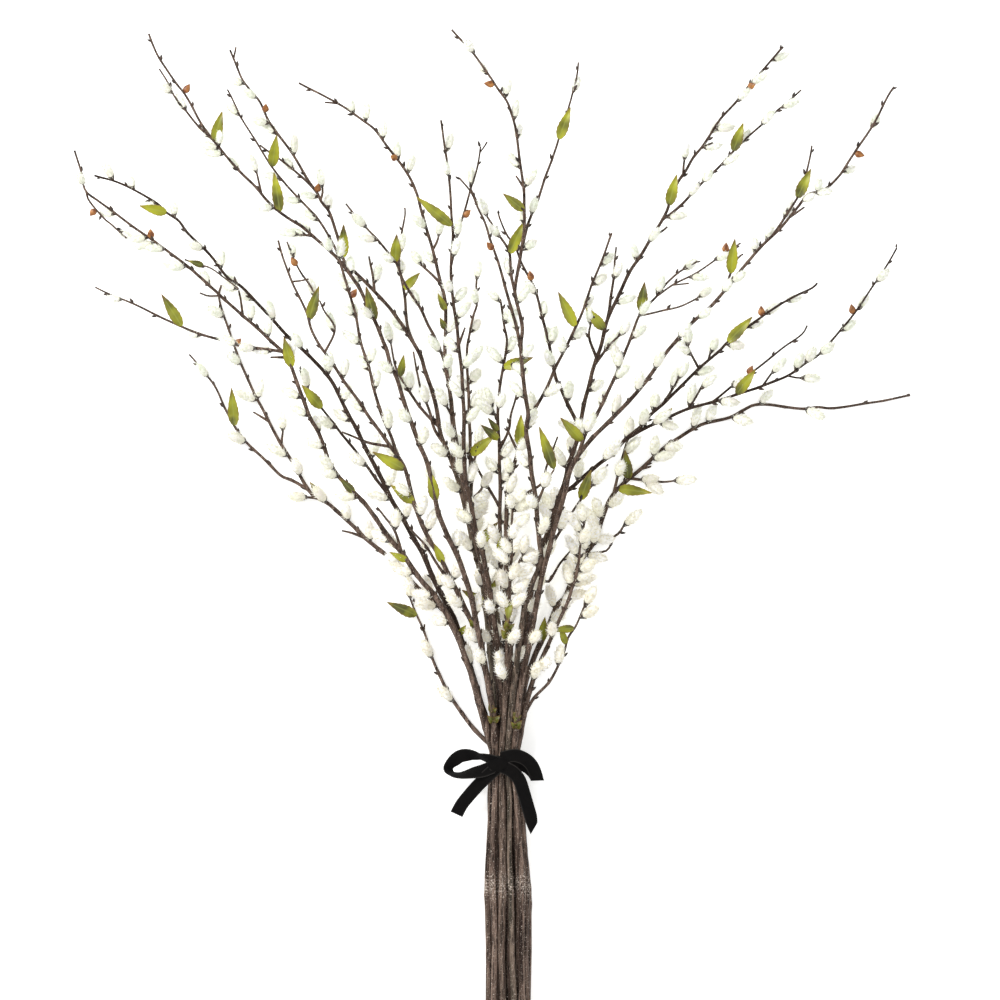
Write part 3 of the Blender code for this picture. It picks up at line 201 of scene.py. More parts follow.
STEMS = {
    "stem_left_low": {
        "cell": (1, -4), "rise": -3,
        "leader": "482,715 474,685 465,655 455,632 445,613 432,600 415,585 400,567 388,556 365,538 "
            "352,525 330,505 315,497 307,487 291,460 275,433 262,408 247,378 236,350 226,322 219,297 "
            "222,283",
        "twigs": [("310,490 292,480 280,475 260,455 240,435 226,410 215,387 197,363 188,353", -2.9),
            ("218,297 208,296 198,292", 4), ("268,422 252,411", 6), ("283,443 284,424", 8),
            ("315,500 302,497", 5), ("489,745 480,735 463,715 447,690 435,665 427,640 422,627 416,613 "
            "411,600 406,588", -1), ("422,632 425,622", 4), ("365,538 352,533 340,530", 4)],
        "catkins": "202,372 237,440 247,400 281,411 291,493 217,315 236,362 263,392 445,695 427,650 "
            "427,610 325,497 350,513 375,530 400,570 430,590 411,588 450,620 300,470 280,455",
        "leaves": ["232,428 232,388", "328,500 310,482", "416,616 387,602"],
        "scales": "238,343",
    },
    "stem_left_second": {
        "cell": (1, -2), "rise": 40,
        "leader": "496,720 494,690 490,650 486,610 480,570 473,545 468,520 462,495 455,470 447,450 "
            "441,435 437,410 431,388 425,370 420,355 407,332 397,318 388,306 378,295 365,282 355,272 "
            "345,262 340,245 337,235 330,213 322,203 317,193 310,183 300,166 291,152 281,138 268,120 "
            "260,102 247,86 241,77 233,57 230,49",
        "twigs": [("316,192 303,178 280,160 259,145", 20), ("322,200 323,192 322,181", 8),
            ("234,60 237,46", 3), ("437,428 427,415 410,393 397,370 391,345 389,335", -12),
            ("436,448 435,430 430,412 421,390 418,375 413,350", 16), ("452,468 452,420 448,375 436,340 "
            "428,325 420,308 410,292 403,280 397,265 390,255 378,240 365,227 345,203", 30),
            ("376,290 373,275 369,255", 12), ("412,345 408,328 405,300 402,280 399,262 401,240 405,215 "
            "404,206", -16)],
        "catkins": "290,165 318,172 389,328 403,385 412,382 402,268 402,245 361,222 378,276 240,84 "
            "263,125 331,205 364,243 433,347 252,98 275,132 297,150 309,200 352,285 400,330 425,395 "
            "440,455 452,490 462,520 470,548 480,585 447,372 415,300 384,262",
        "leaves": ["405,375 404,355", "396,262 397,235", "350,255 344,225", "405,290 420,273",
            "480,604 462,590"],
        "scales": "267,110 318,190 396,258",
    },
    "stem_middle_low": {
        "cell": (1, 0), "rise": 60,
        "leader": "505,700 502,650 496,610 487,575 478,550 473,530 471,500 471,470 470,440 469,410 "
            "468,380 467,350 469,337 474,315 477,305 476,290 477,277",
        "twigs": [("471,470 476,455 480,440", 10), ("472,500 481,490 486,480", 12)],
        "catkins": "478,268 485,500 485,515 474,330 477,360 463,388 476,405 478,432 463,450 486,478 "
            "480,530 484,556 497,585 505,600 498,640 476,380 470,300",
        "leaves": ["480,545 498,522", "478,597 495,580", "480,640 460,625", "472,455 495,435"],
        "scales": "",
    },
    "stem_right_second": {
        "cell": (1, 2), "rise": 40,
        "leader": "515,700 522,660 530,620 538,590 545,560 553,520 563,495 572,487 582,478 592,470 "
            "600,463 613,453 625,440 640,427 650,415 662,405 672,395 687,380 702,366 720,350 728,342 "
            "757,320 775,308 795,296 812,288 818,282",
        "twigs": [("626,440 640,431 652,425 680,412 705,404 730,397 762,386 785,377 803,365 817,356 "
            "830,342 845,325 856,310 870,290 882,272 893,254 897,247", 25),
            ("762,385 770,375 777,368", 10), ("787,376 797,378 808,378", -6),
            ("712,400 730,388 748,375 768,360 785,346 802,334 808,324", -16),
            ("685,355 688,347 692,340", 8), ("687,407 697,395 705,380", 14),
            ("706,358 710,353 713,348", -8), ("667,410 675,385 680,372", 10)],
        "catkins": "752,328 808,354 848,328 882,278 605,455 652,405 660,418 683,350 685,365 700,375 "
            "728,404 695,333 710,383 717,342 782,364 818,377 768,312 790,302 735,350 610,450 640,420 "
            "672,380 670,430 690,398 740,385 795,358 826,350 862,303 556,500 574,470",
        "leaves": ["735,392 755,370", "727,343 752,317", "672,440 672,408"],
        "scales": "750,370 761,312 851,308",
    },
    "stem_right_low": {
        "cell": (1, 4), "rise": -5.3,
        "leader": "524,690 533,660 541,643 547,630 552,617 558,605 565,597 570,585 577,570 583,558 "
            "590,548 597,535 602,520 608,503 615,492 628,480 645,465 660,451 680,437 700,425 728,418 "
            "745,409 755,405 772,405 803,409 817,407 830,408 850,406 875,402 912,395",
        "twigs": [("612,492 618,475 625,447 629,432", 12), ("630,478 650,481 664,482 683,479", 3),
            ("640,468 653,466", 5), ("603,543 617,535 628,517", 6), ("592,557 606,551 611,544", 5)],
        "catkins": "763,403 810,411 737,422 708,416 693,420 637,448 670,451 650,478 593,510 575,540 "
            "590,537 597,561 566,568 583,585 630,422 690,477 660,460 632,508 600,540 613,505 622,470 "
            "648,440 655,492 583,520 577,560 572,600 556,620 548,600",
        "leaves": ["620,490 652,493", "627,478 625,450", "543,643 545,617"],
        "scales": "",
    },
    "stem_left_third": {
        "cell": (2, -3), "rise": 75,
        "leader": "485,715 480,700 472,672 463,645 455,620 447,605 438,588 430,570 422,552 412,535 "
            "402,517 392,500 385,485 377,470 368,452 357,430 348,413 340,397 333,383 325,372 307,354 "
            "285,333 262,308 243,288 229,279 213,258 190,235 180,222 168,214 155,202 120,184 94,176",
        "twigs": [("390,500 372,473 352,446 340,432 322,408 312,395 304,383 300,368", -18)],
        "catkins": "235,283 228,258 177,212 113,176 310,378 135,184 150,210 200,250 250,300 275,315 "
            "300,345 333,365 350,395 325,425 345,420 378,450 395,480 410,512 430,545 445,580 470,662 "
            "358,462 383,500",
        "leaves": ["168,214 141,207", "318,412 302,385", "450,637 466,625"],
        "scales": "",
    },
    "stem_arc": {
        "cell": (2, -1), "rise": 90,
        "leader": "500,715 498,680 494,640 488,600 483,570 476,540 470,515 465,490 460,465 456,440 "
            "452,410 449,385 446,365 445,350 446,325 445,300 442,287 438,272 434,255 431,243 427,230 "
            "421,210 418,197 412,182 403,168 395,157 385,144 375,131 365,123 350,112 338,105 320,95 "
            "308,89 298,84",
        "twigs": [("434,250 437,243 441,230", 10), ("441,285 428,271 417,262", -12),
            ("338,106 324,104", 6), ("450,418 443,400", 10)],
        "catkins": "438,225 413,250 370,115 411,170 421,227 450,365 450,435 355,108 385,135 400,155 "
            "430,262 437,300 452,330 441,395 462,470 474,510 488,560 494,600 482,640",
        "leaves": ["442,330 440,318", "438,312 438,294"],
        "scales": "395,160",
    },
    "stem_middle_fork": {
        "cell": (2, 1), "rise": 100,
        "leader": "508,700 506,650 503,600 501,560 500,520 500,480 499,440 498,405 502,375 505,357 "
            "507,340 504,325 501,305 500,298",
        "twigs": [("503,372 512,364 522,378 526,392", 16), ("506,450 509,430 511,415 515,400 517,389", 14),
            ("498,422 493,410 488,401", -12), ("500,508 490,490 478,470 470,455 460,445", -20)],
        "catkins": "518,380 488,395 485,410 493,300 507,318 512,320 503,405 497,567 503,568 500,638 "
            "507,643 509,350 495,360 507,455 492,470 506,480 508,520 495,540 508,585 505,620",
        "leaves": ["505,368 533,358", "499,440 481,425", "500,562 500,535", "498,432 488,418"],
        "scales": "",
    },
    "stem_right_trunk": {
        "cell": (2, 3), "rise": 110,
        "leader": "517,700 521,660 524,640 527,620 530,600 533,585 538,570 541,555 545,540 550,525 "
            "555,510 560,495 565,480 568,465 572,455 577,440 581,420 585,400 589,385 592,372 597,358 "
            "601,345 604,330 608,318 614,305 620,292 631,270 641,255 655,232 662,220 667,210 671,197 "
            "678,182 685,172 692,160 700,150 706,141 718,123 732,107 748,88 765,68 783,48",
        "twigs": [("662,222 680,207 697,188 715,172 732,153 752,134 778,111 801,91", 25),
            ("606,322 609,310 611,295 614,270 615,258 616,246", -14), ("655,238 662,232 668,227", 8),
            ("700,150 706,147 713,144", 8), ("681,175 683,165 685,155", 8),
            ("594,365 602,355 612,343 623,332", 12), ("592,358 589,337 592,318", 12),
            ("577,428 573,415 567,403 561,390 556,380 553,365 550,350 545,328 541,312 537,297 533,285 "
            "526,272 520,260 515,247 507,235 500,220 497,210", -24), ("541,565 553,543 570,515 590,488 "
            "609,463", 20), ("538,572 548,582 560,563 572,549", -14)],
        "catkins": "618,273 677,220 713,133 725,135 687,146 630,322 592,308 789,108 728,163 550,338 "
            "557,335 775,63 633,257 573,390 555,460 570,450 545,505 543,515 540,588 754,85 740,100 "
            "710,150 690,190 650,240 625,305 610,345 597,390 566,430 580,460 560,520 548,550 533,610 "
            "705,178 742,140 765,120 545,310 530,290 598,478",
        "leaves": ["730,152 742,125", "669,208 676,176", "602,330 585,308", "580,500 591,470"],
        "scales": "749,89 530,277",
    },
    "stem_far_left": {
        "cell": (3, -4), "rise": 130,
        "leader": "484,715 478,695 470,670 462,648 453,625 436,597 423,582 412,567 402,553 390,538 "
            "375,517 365,503 355,493 345,483 338,475 330,462 323,443 318,430 312,420 305,403 297,380 "
            "291,365 284,353 268,338 245,317 225,300 217,292 200,277 180,260 152,240 127,222 100,202 "
            "88,192 84,175 77,151",
        "twigs": [("283,353 260,349 243,347 230,343 200,334 175,324 140,307 105,292 95,287", -20),
            ("88,192 92,203 106,220 115,227 130,241", -10), ("245,315 242,300 240,290", 10),
            ("192,270 185,267 176,270", 6), ("285,360 270,358", 8), ("229,285 215,271 200,266 185,260", 14),
            ("404,552 395,530 385,517 376,506", 10)],
        "catkins": "115,301 192,335 143,243 143,256 235,290 168,268 260,355 396,520 88,180 113,217 "
            "160,253 210,282 258,310 273,328 290,358 295,398 318,430 315,448 333,465 335,475 348,500 "
            "385,540 395,545 391,563 405,575 128,235 178,272 228,340 245,350 302,415 420,600 440,625",
        "leaves": ["182,326 163,295", "355,493 340,478", "298,365 285,338", "405,563 390,552",
            "205,268 190,262"],
        "scales": "95,213 153,237",
    },
    "stem_inner_left": {
        "cell": (3, -2), "rise": 140,
        "leader": "494,715 488,680 480,640 470,618 455,587 440,557 430,540 421,522 413,498 407,475 "
            "402,462 388,443 377,427 368,415 358,400 345,382 337,370 327,355 320,345 312,330 308,315 "
            "303,303 298,293 293,283 288,270 284,258 279,240",
        "twigs": [("314,318 316,300 313,290 303,276 298,267 294,258 287,241", -14),
            ("343,345 336,330 325,312 320,300", 18), ("388,449 370,443 352,436 341,432", 14),
            ("398,455 391,435 382,415 376,395 370,370 362,345 356,315 349,290 341,265 335,247 322,225 "
            "305,205 285,184 273,168 258,145 243,120 237,108 228,90", 40),
            ("292,283 301,282 311,280", 8), ("455,590 438,565 425,545 412,530 400,515", -10)],
        "catkins": "235,113 353,312 376,355 380,380 330,365 362,410 320,325 339,313 396,455 440,520 "
            "448,583 465,570 295,250 305,290 345,340 350,370 390,420 405,495 425,510 270,180 290,205 "
            "310,220 343,285 362,365 456,605 472,640",
        "leaves": ["272,170 278,137", "312,320 320,287", "413,503 391,485", "400,472 373,452",
            "455,557 434,543"],
        "scales": "355,293 296,262",
    },
    "stem_middle_high": {
        "cell": (3, 0), "rise": 160,
        "leader": "503,715 500,680 497,640 491,600 484,560 476,530 470,500 466,480 464,455 464,415 "
            "462,375 460,355 458,335 454,305 451,275 453,240 452,220 451,200 449,180 447,160 444,142 "
            "441,121",
        "twigs": [("451,268 457,242 461,225 467,205 472,188 476,175 480,155 481,147", 20),
            ("480,155 485,148 488,143", 4), ("459,345 466,327", 10)],
        "catkins": "466,315 459,230 471,180 449,150 447,175 458,250 449,290 462,300 452,350 470,365 "
            "456,395 472,420 458,455 473,480 466,520 482,545 500,667 490,610",
        "leaves": ["450,228 417,199"],
        "scales": "467,215",
    },
    "stem_right_curve": {
        "cell": (3, 2), "rise": 150,
        "leader": "512,700 510,650 508,600 506,560 506,530 507,500 510,478 518,452 525,432 535,410 "
            "547,387 557,365 568,343 580,318 589,292 598,270 609,241 612,233",
        "twigs": [("537,505 540,485 546,468 552,452 558,435", 10), ("518,452 512,440 506,425", 12)],
        "catkins": "604,265 575,338 541,358 517,508 526,503 519,528 521,553 598,285 585,305 560,350 "
            "550,395 530,408 522,450 508,470 512,490 514,560 504,585 512,620 518,660",
        "leaves": ["575,328 558,293", "520,447 521,415"],
        "scales": "",
    },
    "stem_right_bushy": {
        "cell": (3, 4), "rise": 150,
        "leader": "526,705 533,680 543,655 556,627 566,605 572,588 577,572 580,545 585,520",
        "twigs": [("523,715 534,698 550,680 563,655 568,637 576,625 584,607 589,598", 12)],
        "catkins": "594,590 592,614 563,607 556,655 545,668 535,675 590,570 572,552 585,540 580,515 "
            "575,528 566,580 550,632 583,580",
        "leaves": ["567,645 560,626", "575,628 552,630"],
        "scales": "",
    },
    "stem_top_left": {
        "cell": (4, -3), "rise": 200,
        "leader": "493,715 489,690 483,655 478,630 473,605 468,585 460,562 450,540 441,520 438,512 "
            "434,490 427,462 420,445 415,432 408,412 402,393 397,378 391,365 388,352 383,340 377,325 "
            "370,310 363,295 356,283 343,265 320,243 305,230 292,222 280,213 268,202 258,190 245,177 "
            "232,163 217,145 203,125 189,100 180,88 170,74 161,60 152,37",
        "twigs": [("216,146 200,128 190,116 178,101 172,88 161,71", -20),
            ("264,196 260,180 258,169", 10), ("313,240 292,236", 8)],
        "catkins": "169,93 185,107 252,160 285,234 225,143 213,153 218,160 310,232 343,255 387,372 "
            "208,135 240,170 270,212 300,235 330,250 352,272 368,318 405,420 425,440 432,480 458,545 "
            "478,610 480,660",
        "leaves": ["220,143 225,115", "284,212 276,175", "381,320 367,288", "432,503 430,470"],
        "scales": "190,93",
    },
    "stem_middle_bushy": {
        "cell": (4, -1), "rise": 210,
        "leader": "505,700 507,650 509,600 511,560 512,520 513,495",
        "twigs": [("510,580 520,560 530,545", 10), ("511,545 505,530 506,515", 12)],
        "catkins": "533,508 514,535 527,525 530,575 525,590 500,675 520,500 510,505 523,545 498,560 "
            "512,575 503,605 519,605 515,640 505,550 535,560",
        "leaves": ["505,600 508,622", "515,640 522,632"],
        "scales": "",
    },
    "stem_top_arc": {
        "cell": (4, 1), "rise": 200,
        "leader": "512,700 517,660 521,630 526,600 533,580 541,562 539,540 537,515 535,495 531,470 "
            "529,450 526,430 528,415 526,400 522,370 521,345 522,328 516,300 515,290 518,270 521,255 "
            "524,230 524,200 522,180 520,165 518,150 515,130 511,115 507,105 498,93 490,80 475,60 464,47 "
            "451,33",
        "twigs": [("521,252 528,226 538,200 545,180 552,160 558,143 568,110 572,97 576,80 578,63", -30),
            ("519,355 517,330 511,310 503,280 495,255 490,240 485,225 478,210 472,195 458,179", 24),
            ("514,300 511,275 509,254 500,238 487,218 478,205 470,188", -20), ("521,190 515,177", 6),
            ("538,505 545,485 555,468", 12)],
        "catkins": "470,54 504,98 518,138 514,168 533,210 575,88 485,210 493,235 484,75 512,120 530,185 "
            "520,222 528,250 510,270 525,300 512,325 530,355 518,395 534,425 525,465 545,480 530,505 "
            "545,530 528,560",
        "leaves": ["523,213 503,196", "510,255 524,223", "558,142 570,110", "553,455 539,427"],
        "scales": "490,88 490,248",
    },
    "stem_right_leader": {
        "cell": (4, 3), "rise": 210,
        "leader": "519,700 526,660 532,630 537,600 541,580 546,560 551,540 558,515 565,492 572,465 "
            "588,443 608,422 630,400 650,375 668,350 690,325 705,312 716,300 730,284 742,268 760,248 "
            "780,228 795,210 805,197 821,193 835,180 845,165 862,140 875,118 885,98 891,90",
        "twigs": [("770,238 787,213 800,190 804,175 807,160 809,147", 16), ("788,222 803,209", 8),
            ("577,455 586,432 600,408 612,382 623,357 632,333 638,318 645,308 655,298 664,286 680,272 "
            "698,261", -36), ("655,298 672,286 695,274 715,261 723,255 741,243", 14),
            ("672,286 690,284", 6), ("640,318 660,312 680,307 703,295", -10),
            ("717,290 735,262 743,255", -16)],
        "catkins": "813,190 820,200 806,207 784,213 751,250 722,292 722,259 656,283 645,312 610,355 "
            "616,362 700,282 708,287 868,128 840,172 765,240 735,282 700,318 680,335 655,365 635,385 "
            "612,410 594,428 640,335 622,375 600,400 580,430 690,268 535,640",
        "leaves": ["797,203 808,172", "638,312 644,283", "731,277 733,241", "573,440 560,418"],
        "scales": "855,157 725,247",
    },
}


def pixels(text):
    """The points of a route, or a list of places, as pixel pairs."""
    return [tuple(float(v) for v in pair.split(",")) for pair in text.split()]


def place(px, py, height=0.0):
    """A point of the picture in metres from the tie, at a height above the table."""
    return np.array([(px - TIE_X_PX) * PIXEL, (TIE_Y_PX - py) * PIXEL, height])


def tie_point(cell):
    """Where a stem's middle passes the tie, packed like pencils in rows."""
    row, column = cell
    low = RIBBON_THICKNESS + RIBBON_GAP + TIE_HALF_WIDTH * CORNER
    return np.array([column / 2 * TIE_SPACING, 0.0, low + (row - 1) * TIE_SPACING * math.sqrt(3) / 2])


def low_point(cell, px, py):
    """Where a stem's middle passes a place below the tie, where the stems lie side by side."""
    row, column = cell
    middle = place(px, py)
    height = FOOT_HALF_WIDTH * CORNER + (row - 1) * FOOT_ROW
    return np.array([middle[0] + column / 2 * FOOT_SPACING, middle[1], height])


def smooth(points, step):
    """Points a step apart on a smooth curve through the given ones."""
    points = np.array(points)
    ends = np.vstack([2 * points[0] - points[1], points, 2 * points[-1] - points[-2]])
    curve = []
    for a, b, c, d in zip(ends, ends[1:], ends[2:], ends[3:]):
        for t in np.arange(0, 1, 0.1):
            curve.append(0.5 * (2 * b + (c - a) * t + (2 * a - 5 * b + 4 * c - d) * t ** 2
                                + (3 * b - a - 3 * c + d) * t ** 3))
    curve = np.array(curve + [points[-1]])
    along = np.concatenate([[0], np.cumsum(np.linalg.norm(np.diff(curve, axis=0), axis=1))])
    count = max(2, round(along[-1] / step) + 1)
    wanted = np.linspace(0, along[-1], count)
    return np.column_stack([np.interp(wanted, along, curve[:, i]) for i in range(3)])


class Branch:
    """A length of wood. Its plain line, in long steps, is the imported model's, and things grow by
    it. Its drawn line goes the same way in short steps."""

    def __init__(self, points, radii, drawn, drawn_where):
        self.points, self.radii = points, radii
        self.drawn, self.drawn_where = drawn, drawn_where

    def nearest(self, spot):
        start, end = self.points[:-1, :2], self.points[1:, :2]
        run = end - start
        share = np.einsum("ij,ij->i", spot - start, run) / np.einsum("ij,ij->i", run, run)
        share = np.clip(share, 0, 1)
        away = np.linalg.norm(start + share[:, None] * run - spot, axis=1)
        best = int(np.argmin(away))
        return away[best], best + share[best]

    def at(self, where):
        low = min(int(where), len(self.points) - 2)
        share = where - low
        return self.points[low] * (1 - share) + self.points[low + 1] * share

    def radius_at(self, where):
        return float(np.interp(where, range(len(self.radii)), self.radii))

    def direction(self, where):
        low = min(int(where), len(self.points) - 2)
        run = self.points[low + 1] - self.points[low]
        return run / np.linalg.norm(run)

    def drawn_at(self, where):
        return np.array([np.interp(where, self.drawn_where, self.drawn[:, i]) for i in range(3)])

    def shift(self, where):
        return self.drawn_at(where) - self.at(where)


class Room:
    """The space that is taken, as round-ended rods, each belonging to one stem."""

    def __init__(self):
        self.start, self.end, self.radius, self.owner = [], [], [], []

    def take(self, owner, start, end, radius):
        self.start.append(start)
        self.end.append(end)
        self.radius.append(radius)
        self.owner.append(owner)

    def free(self, owner, start, end, radius, margin=0.0006):
        """The least distance to another stem's rods or the table, less the margin."""
        above = min(start[2], end[2]) - radius
        others = [i for i, name in enumerate(self.owner) if name != owner]
        if not others:
            return above
        p, q = np.array(self.start)[others], np.array(self.end)[others]
        gaps = rod_distance(start, end, p, q) - np.array(self.radius)[others] - radius
        return min(above, float(gaps.min()) - margin)


def rod_distance(start, end, starts, ends):
    """The least distance between one straight line piece and each of several."""
    best = np.full(len(starts), np.inf)
    for t in np.linspace(0, 1, 7):
        spot = start + (end - start) * t
        run = ends - starts
        share = np.einsum("ij,ij->i", spot - starts, run) / np.einsum("ij,ij->i", run, run)
        near = starts + np.clip(share, 0, 1)[:, None] * run
        best = np.minimum(best, np.linalg.norm(near - spot, axis=1))
    return best


def leader_branch(stem):
    """The main wood of a stem: cut end, straight through the tie, then out along its route."""
    tie = tie_point(stem["cell"])
    foot = low_point(stem["cell"], FOOT_X_PX, FOOT_Y_PX)
    knee = low_point(stem["cell"], KNEE_X_PX, KNEE_Y_PX)
    above = tie + np.array([0, STRAIGHT_AT_TIE, 0])
    below = tie - np.array([0, STRAIGHT_AT_TIE, 0])
    route = [above]
    travelled = 0.0
    for px, py in pixels(stem["leader"]):
        spot = place(px, py)
        travelled += float(np.linalg.norm(spot[:2] - route[-1][:2]))
        spot[2] = tie[2] + stem["rise"] * 0.001 * travelled
        route.append(spot)
    curve = smooth(route, LEADER_STEP)
    points = np.vstack([foot, knee, below, curve])
    share = np.linspace(0, 1, len(curve))
    foot_radius, tie_radius = FOOT_HALF_WIDTH * CORNER, TIE_HALF_WIDTH * CORNER
    radii = [foot_radius, foot_radius, tie_radius]
    radii += [float(tie_radius * (1 - s) ** LEADER_TAPER + TIP_RADIUS * s) for s in share]
    fine = smooth(route, DRAWN_STEP)
    low = [foot + (knee - foot) * t for t in np.linspace(0, 1, LOW_STEPS, endpoint=False)]
    low += [knee + (below - knee) * t for t in np.linspace(0, 1, LOW_STEPS)]
    drawn = np.vstack([low, fine])
    where = np.concatenate([np.linspace(0, 1, LOW_STEPS, endpoint=False), np.linspace(1, 2, LOW_STEPS),
                            3 + np.linspace(0, len(curve) - 1, len(fine))])
    return Branch(points, radii, drawn, where)


def nearest_branch(spot, branches):
    """The branch that lies nearest a spot as seen from above, and where along it that is."""
    found = [(*branch.nearest(spot), number) for number, branch in enumerate(branches)]
    away, where, number = min(found)
    return away, where, branches[number]


def twig_branch(name, text, rise, parents, room):
    """A side twig that starts on the nearest wood of its own stem, bent clear of the others."""
    spots = pixels(text)
    where, parent = nearest_branch(place(*spots[0])[:2], parents)[1:]
    base = parent.at(where)
    flat = [place(px, py) for px, py in spots[1:]]
    lengths = np.cumsum([np.linalg.norm(b[:2] - a[:2]) for a, b in zip([base] + flat, flat)])
    long = lengths[-1] > LONG_TWIG
    thick = min(LONG_TWIG_RADIUS if long else TWIG_BASE_RADIUS, 0.8 * parent.radius_at(where))
    best = None
    for bend in TWIG_BENDS:
        route = [base]
        for spot, length in zip(flat, lengths):
            height = base[2] + (rise + bend) * 0.001 * length / lengths[-1]
            route.append(np.array([spot[0], spot[1], height]))
        points = smooth(route, TWIG_STEP)
        radii = list(np.linspace(thick, TWIG_TIP_RADIUS, len(points)))
        spare = min(room.free(name, a, b, max(r, s))
                    for a, b, r, s in zip(points, points[1:], radii, radii[1:]))
        if best is None or spare > best[0]:
            route[0] = parent.drawn_at(where)
            drawn = smooth(route, DRAWN_STEP)
            best = (spare, Branch(points, radii, drawn, np.linspace(0, len(points) - 1, len(drawn))))
        if spare > 0:
            break
    return best[1]


def take_wood(name, branch, room):
    for a, b, r, s in zip(branch.points, branch.points[1:], branch.radii, branch.radii[1:]):
        room.take(name, a, b, max(r, s))


def willow_bark():
    """Willow bark: thin, dull and finely ribbed along the wood, grey-brown with worn pale flecks on
    the old wood near the feet, warmer and darker on the year's twigs, and scarred in a ring of pale
    knots. No two stems have quite the same tone, and some keep a grey-green bloom."""
    bark, shader = new_material("willow bark")
    where = node(bark, "TexCoord", {}, "Object")
    along_bunch = node(bark, "SeparateXYZ", {"Vector": where}, "Y")
    tint = node(bark, "Attribute", {}, "Fac", attribute_name="tint")
    # The ribs are 1.5 mm apart and ten times as long, and the wood runs mostly along Y
    stretched = node(bark, "Mapping", {"Vector": where, "Scale": (1, 0.1, 1)})
    ribs = node(bark, "TexNoise", {"Vector": stretched, "Scale": 640.0, "Detail": 4.0, "Roughness": 0.7})
    # Streaks of old and new skin are 4 mm wide and 80 mm long
    long_way = node(bark, "Mapping", {"Vector": where, "Scale": (1, 0.05, 1)})
    streaks = node(bark, "TexNoise", {"Vector": long_way, "Scale": 240.0, "Detail": 3.0, "Roughness": 0.6})
    blotches = node(bark, "TexNoise", {"Vector": where, "Scale": 85.0, "Detail": 5.0, "Roughness": 0.7})
    # Flecks of about 2 mm, where the thin skin has worn through to the pale wood
    flecks = node(bark, "TexNoise", {"Vector": where, "Scale": 560.0, "Detail": 3.0, "Roughness": 0.8})
    old = node(bark, "MapRange", {"Value": along_bunch, "From Min": 0.4, "From Max": -0.02})
    blotch = node(bark, "MapRange", {"Value": blotches, "From Min": 0.34, "From Max": 0.66})
    streak = node(bark, "MapRange", {"Value": streaks, "From Min": 0.38, "From Max": 0.58})
    young = node(bark, "Mix", {"Factor": blotch, "A": colour("#2c1a0f"), "B": colour("#80695a")}, 2,
                 data_type="RGBA")
    aged = node(bark, "Mix", {"Factor": streak, "A": colour("#26150b"), "B": colour("#8b7567")}, 2,
                data_type="RGBA")
    skin = node(bark, "Mix", {"Factor": old, "A": young, "B": aged}, 2, data_type="RGBA")
    # The tint runs from dark brown stems, below 0.5, to those with a grey-green bloom, above it
    brown = node(bark, "MapRange", {"Value": tint, "From Min": 0.5, "From Max": 0.0, "To Max": 0.9})
    bloom = node(bark, "MapRange", {"Value": tint, "From Min": 0.75, "From Max": 1.0, "To Max": 0.8})
    old_bloom = node(bark, "Math", {0: old, 1: bloom}, operation="MULTIPLY")
    # The grooves between the ribs are darkened to near black: painted shade
    shade_between_ribs = node(bark, "MapRange", {"Value": ribs, "From Min": 0.36, "From Max": 0.54,
                                           "To Min": 0.85, "To Max": 0.0})
    # Flecks are common on the old wood, rare on the young, and close together in the ring of knots
    ring_way = node(bark, "Math", {0: along_bunch, 1: KNOT_RING_Y}, operation="SUBTRACT")
    ring_gap = node(bark, "Math", {0: ring_way}, operation="ABSOLUTE")
    ring = node(bark, "MapRange", {"Value": ring_gap, "From Min": 0.004, "From Max": 0.022,
                                   "To Min": 0.08, "To Max": 0.0})
    base = node(bark, "Math", {0: old, 1: 0.03}, operation="MULTIPLY")
    lifted = node(bark, "Math", {0: flecks, 1: ring}, operation="ADD")
    raised = node(bark, "Math", {0: lifted, 1: base}, operation="ADD")
    fleck = node(bark, "MapRange", {"Value": raised, "From Min": 0.64, "From Max": 0.68, "To Max": 0.9})
    # Over the skin lie, in turn, the stem's brown, its grey-green bloom, the painted shade between the ribs
    # and the pale flecks
    for amount, code in ((brown, "#2a180d"), (old_bloom, "#7d7f6c"), (shade_between_ribs, "#170d07"),
                         (fleck, "#e2d3c4")):
        skin = node(bark, "Mix", {"Factor": amount, "A": skin, "B": colour(code)}, 2, data_type="RGBA")
    bump = node(bark, "Bump", {"Height": ribs, "Strength": 1.0, "Distance": 0.0012})
    rough = node(bark, "Bump", {"Height": flecks, "Strength": 0.6, "Distance": 0.0008, "Normal": bump})
    fill(bark, shader, {"Base Color": skin, "Normal": rough, "Roughness": 0.65, "Specular IOR Level": 0.22})
    return bark


def stray_below(points, radii, draw):
    """The old wood below the tie, with the slight bends and swellings that it has grown."""
    low = np.clip((LOW_FROM - points[:, 1]) / LOW_EASE, 0, 1)
    marks = np.arange(points[0, 1] - LOW_LENGTH, LOW_LENGTH, LOW_LENGTH)
    marks = marks + np.array([draw.uniform(-LOW_JITTER, LOW_JITTER) for mark in marks])
    strays = [draw.uniform(-LOW_STRAY, LOW_STRAY) for mark in marks]
    swells = [draw.uniform(-LOW_SWELL, LOW_SWELL) for mark in marks]
    points[:, 0] += low * np.interp(points[:, 1], marks, strays)
    ring = KNOT_RING_SWELL * draw.uniform(0.0, 1.0)
    ring_at = KNOT_RING_Y + draw.uniform(-LOW_JITTER, LOW_JITTER)
    bulge = np.interp(points[:, 1], marks, swells) + draw.uniform(*LOW_THINNING)
    bulge = bulge + ring * np.exp(-((points[:, 1] - ring_at) / KNOT_RING_LENGTH) ** 2)
    for knot in range(OLD_KNOTS):
        knot_at = draw.uniform(points[0, 1] + OLD_KNOTS_OFF_FOOT, OLD_KNOTS_END_Y)
        swell = OLD_KNOT_SWELL * draw.random()
        bulge = bulge + swell * np.exp(-((points[:, 1] - knot_at) / OLD_KNOT_LENGTH) ** 2)
    return points, radii * (1 + low * bulge)


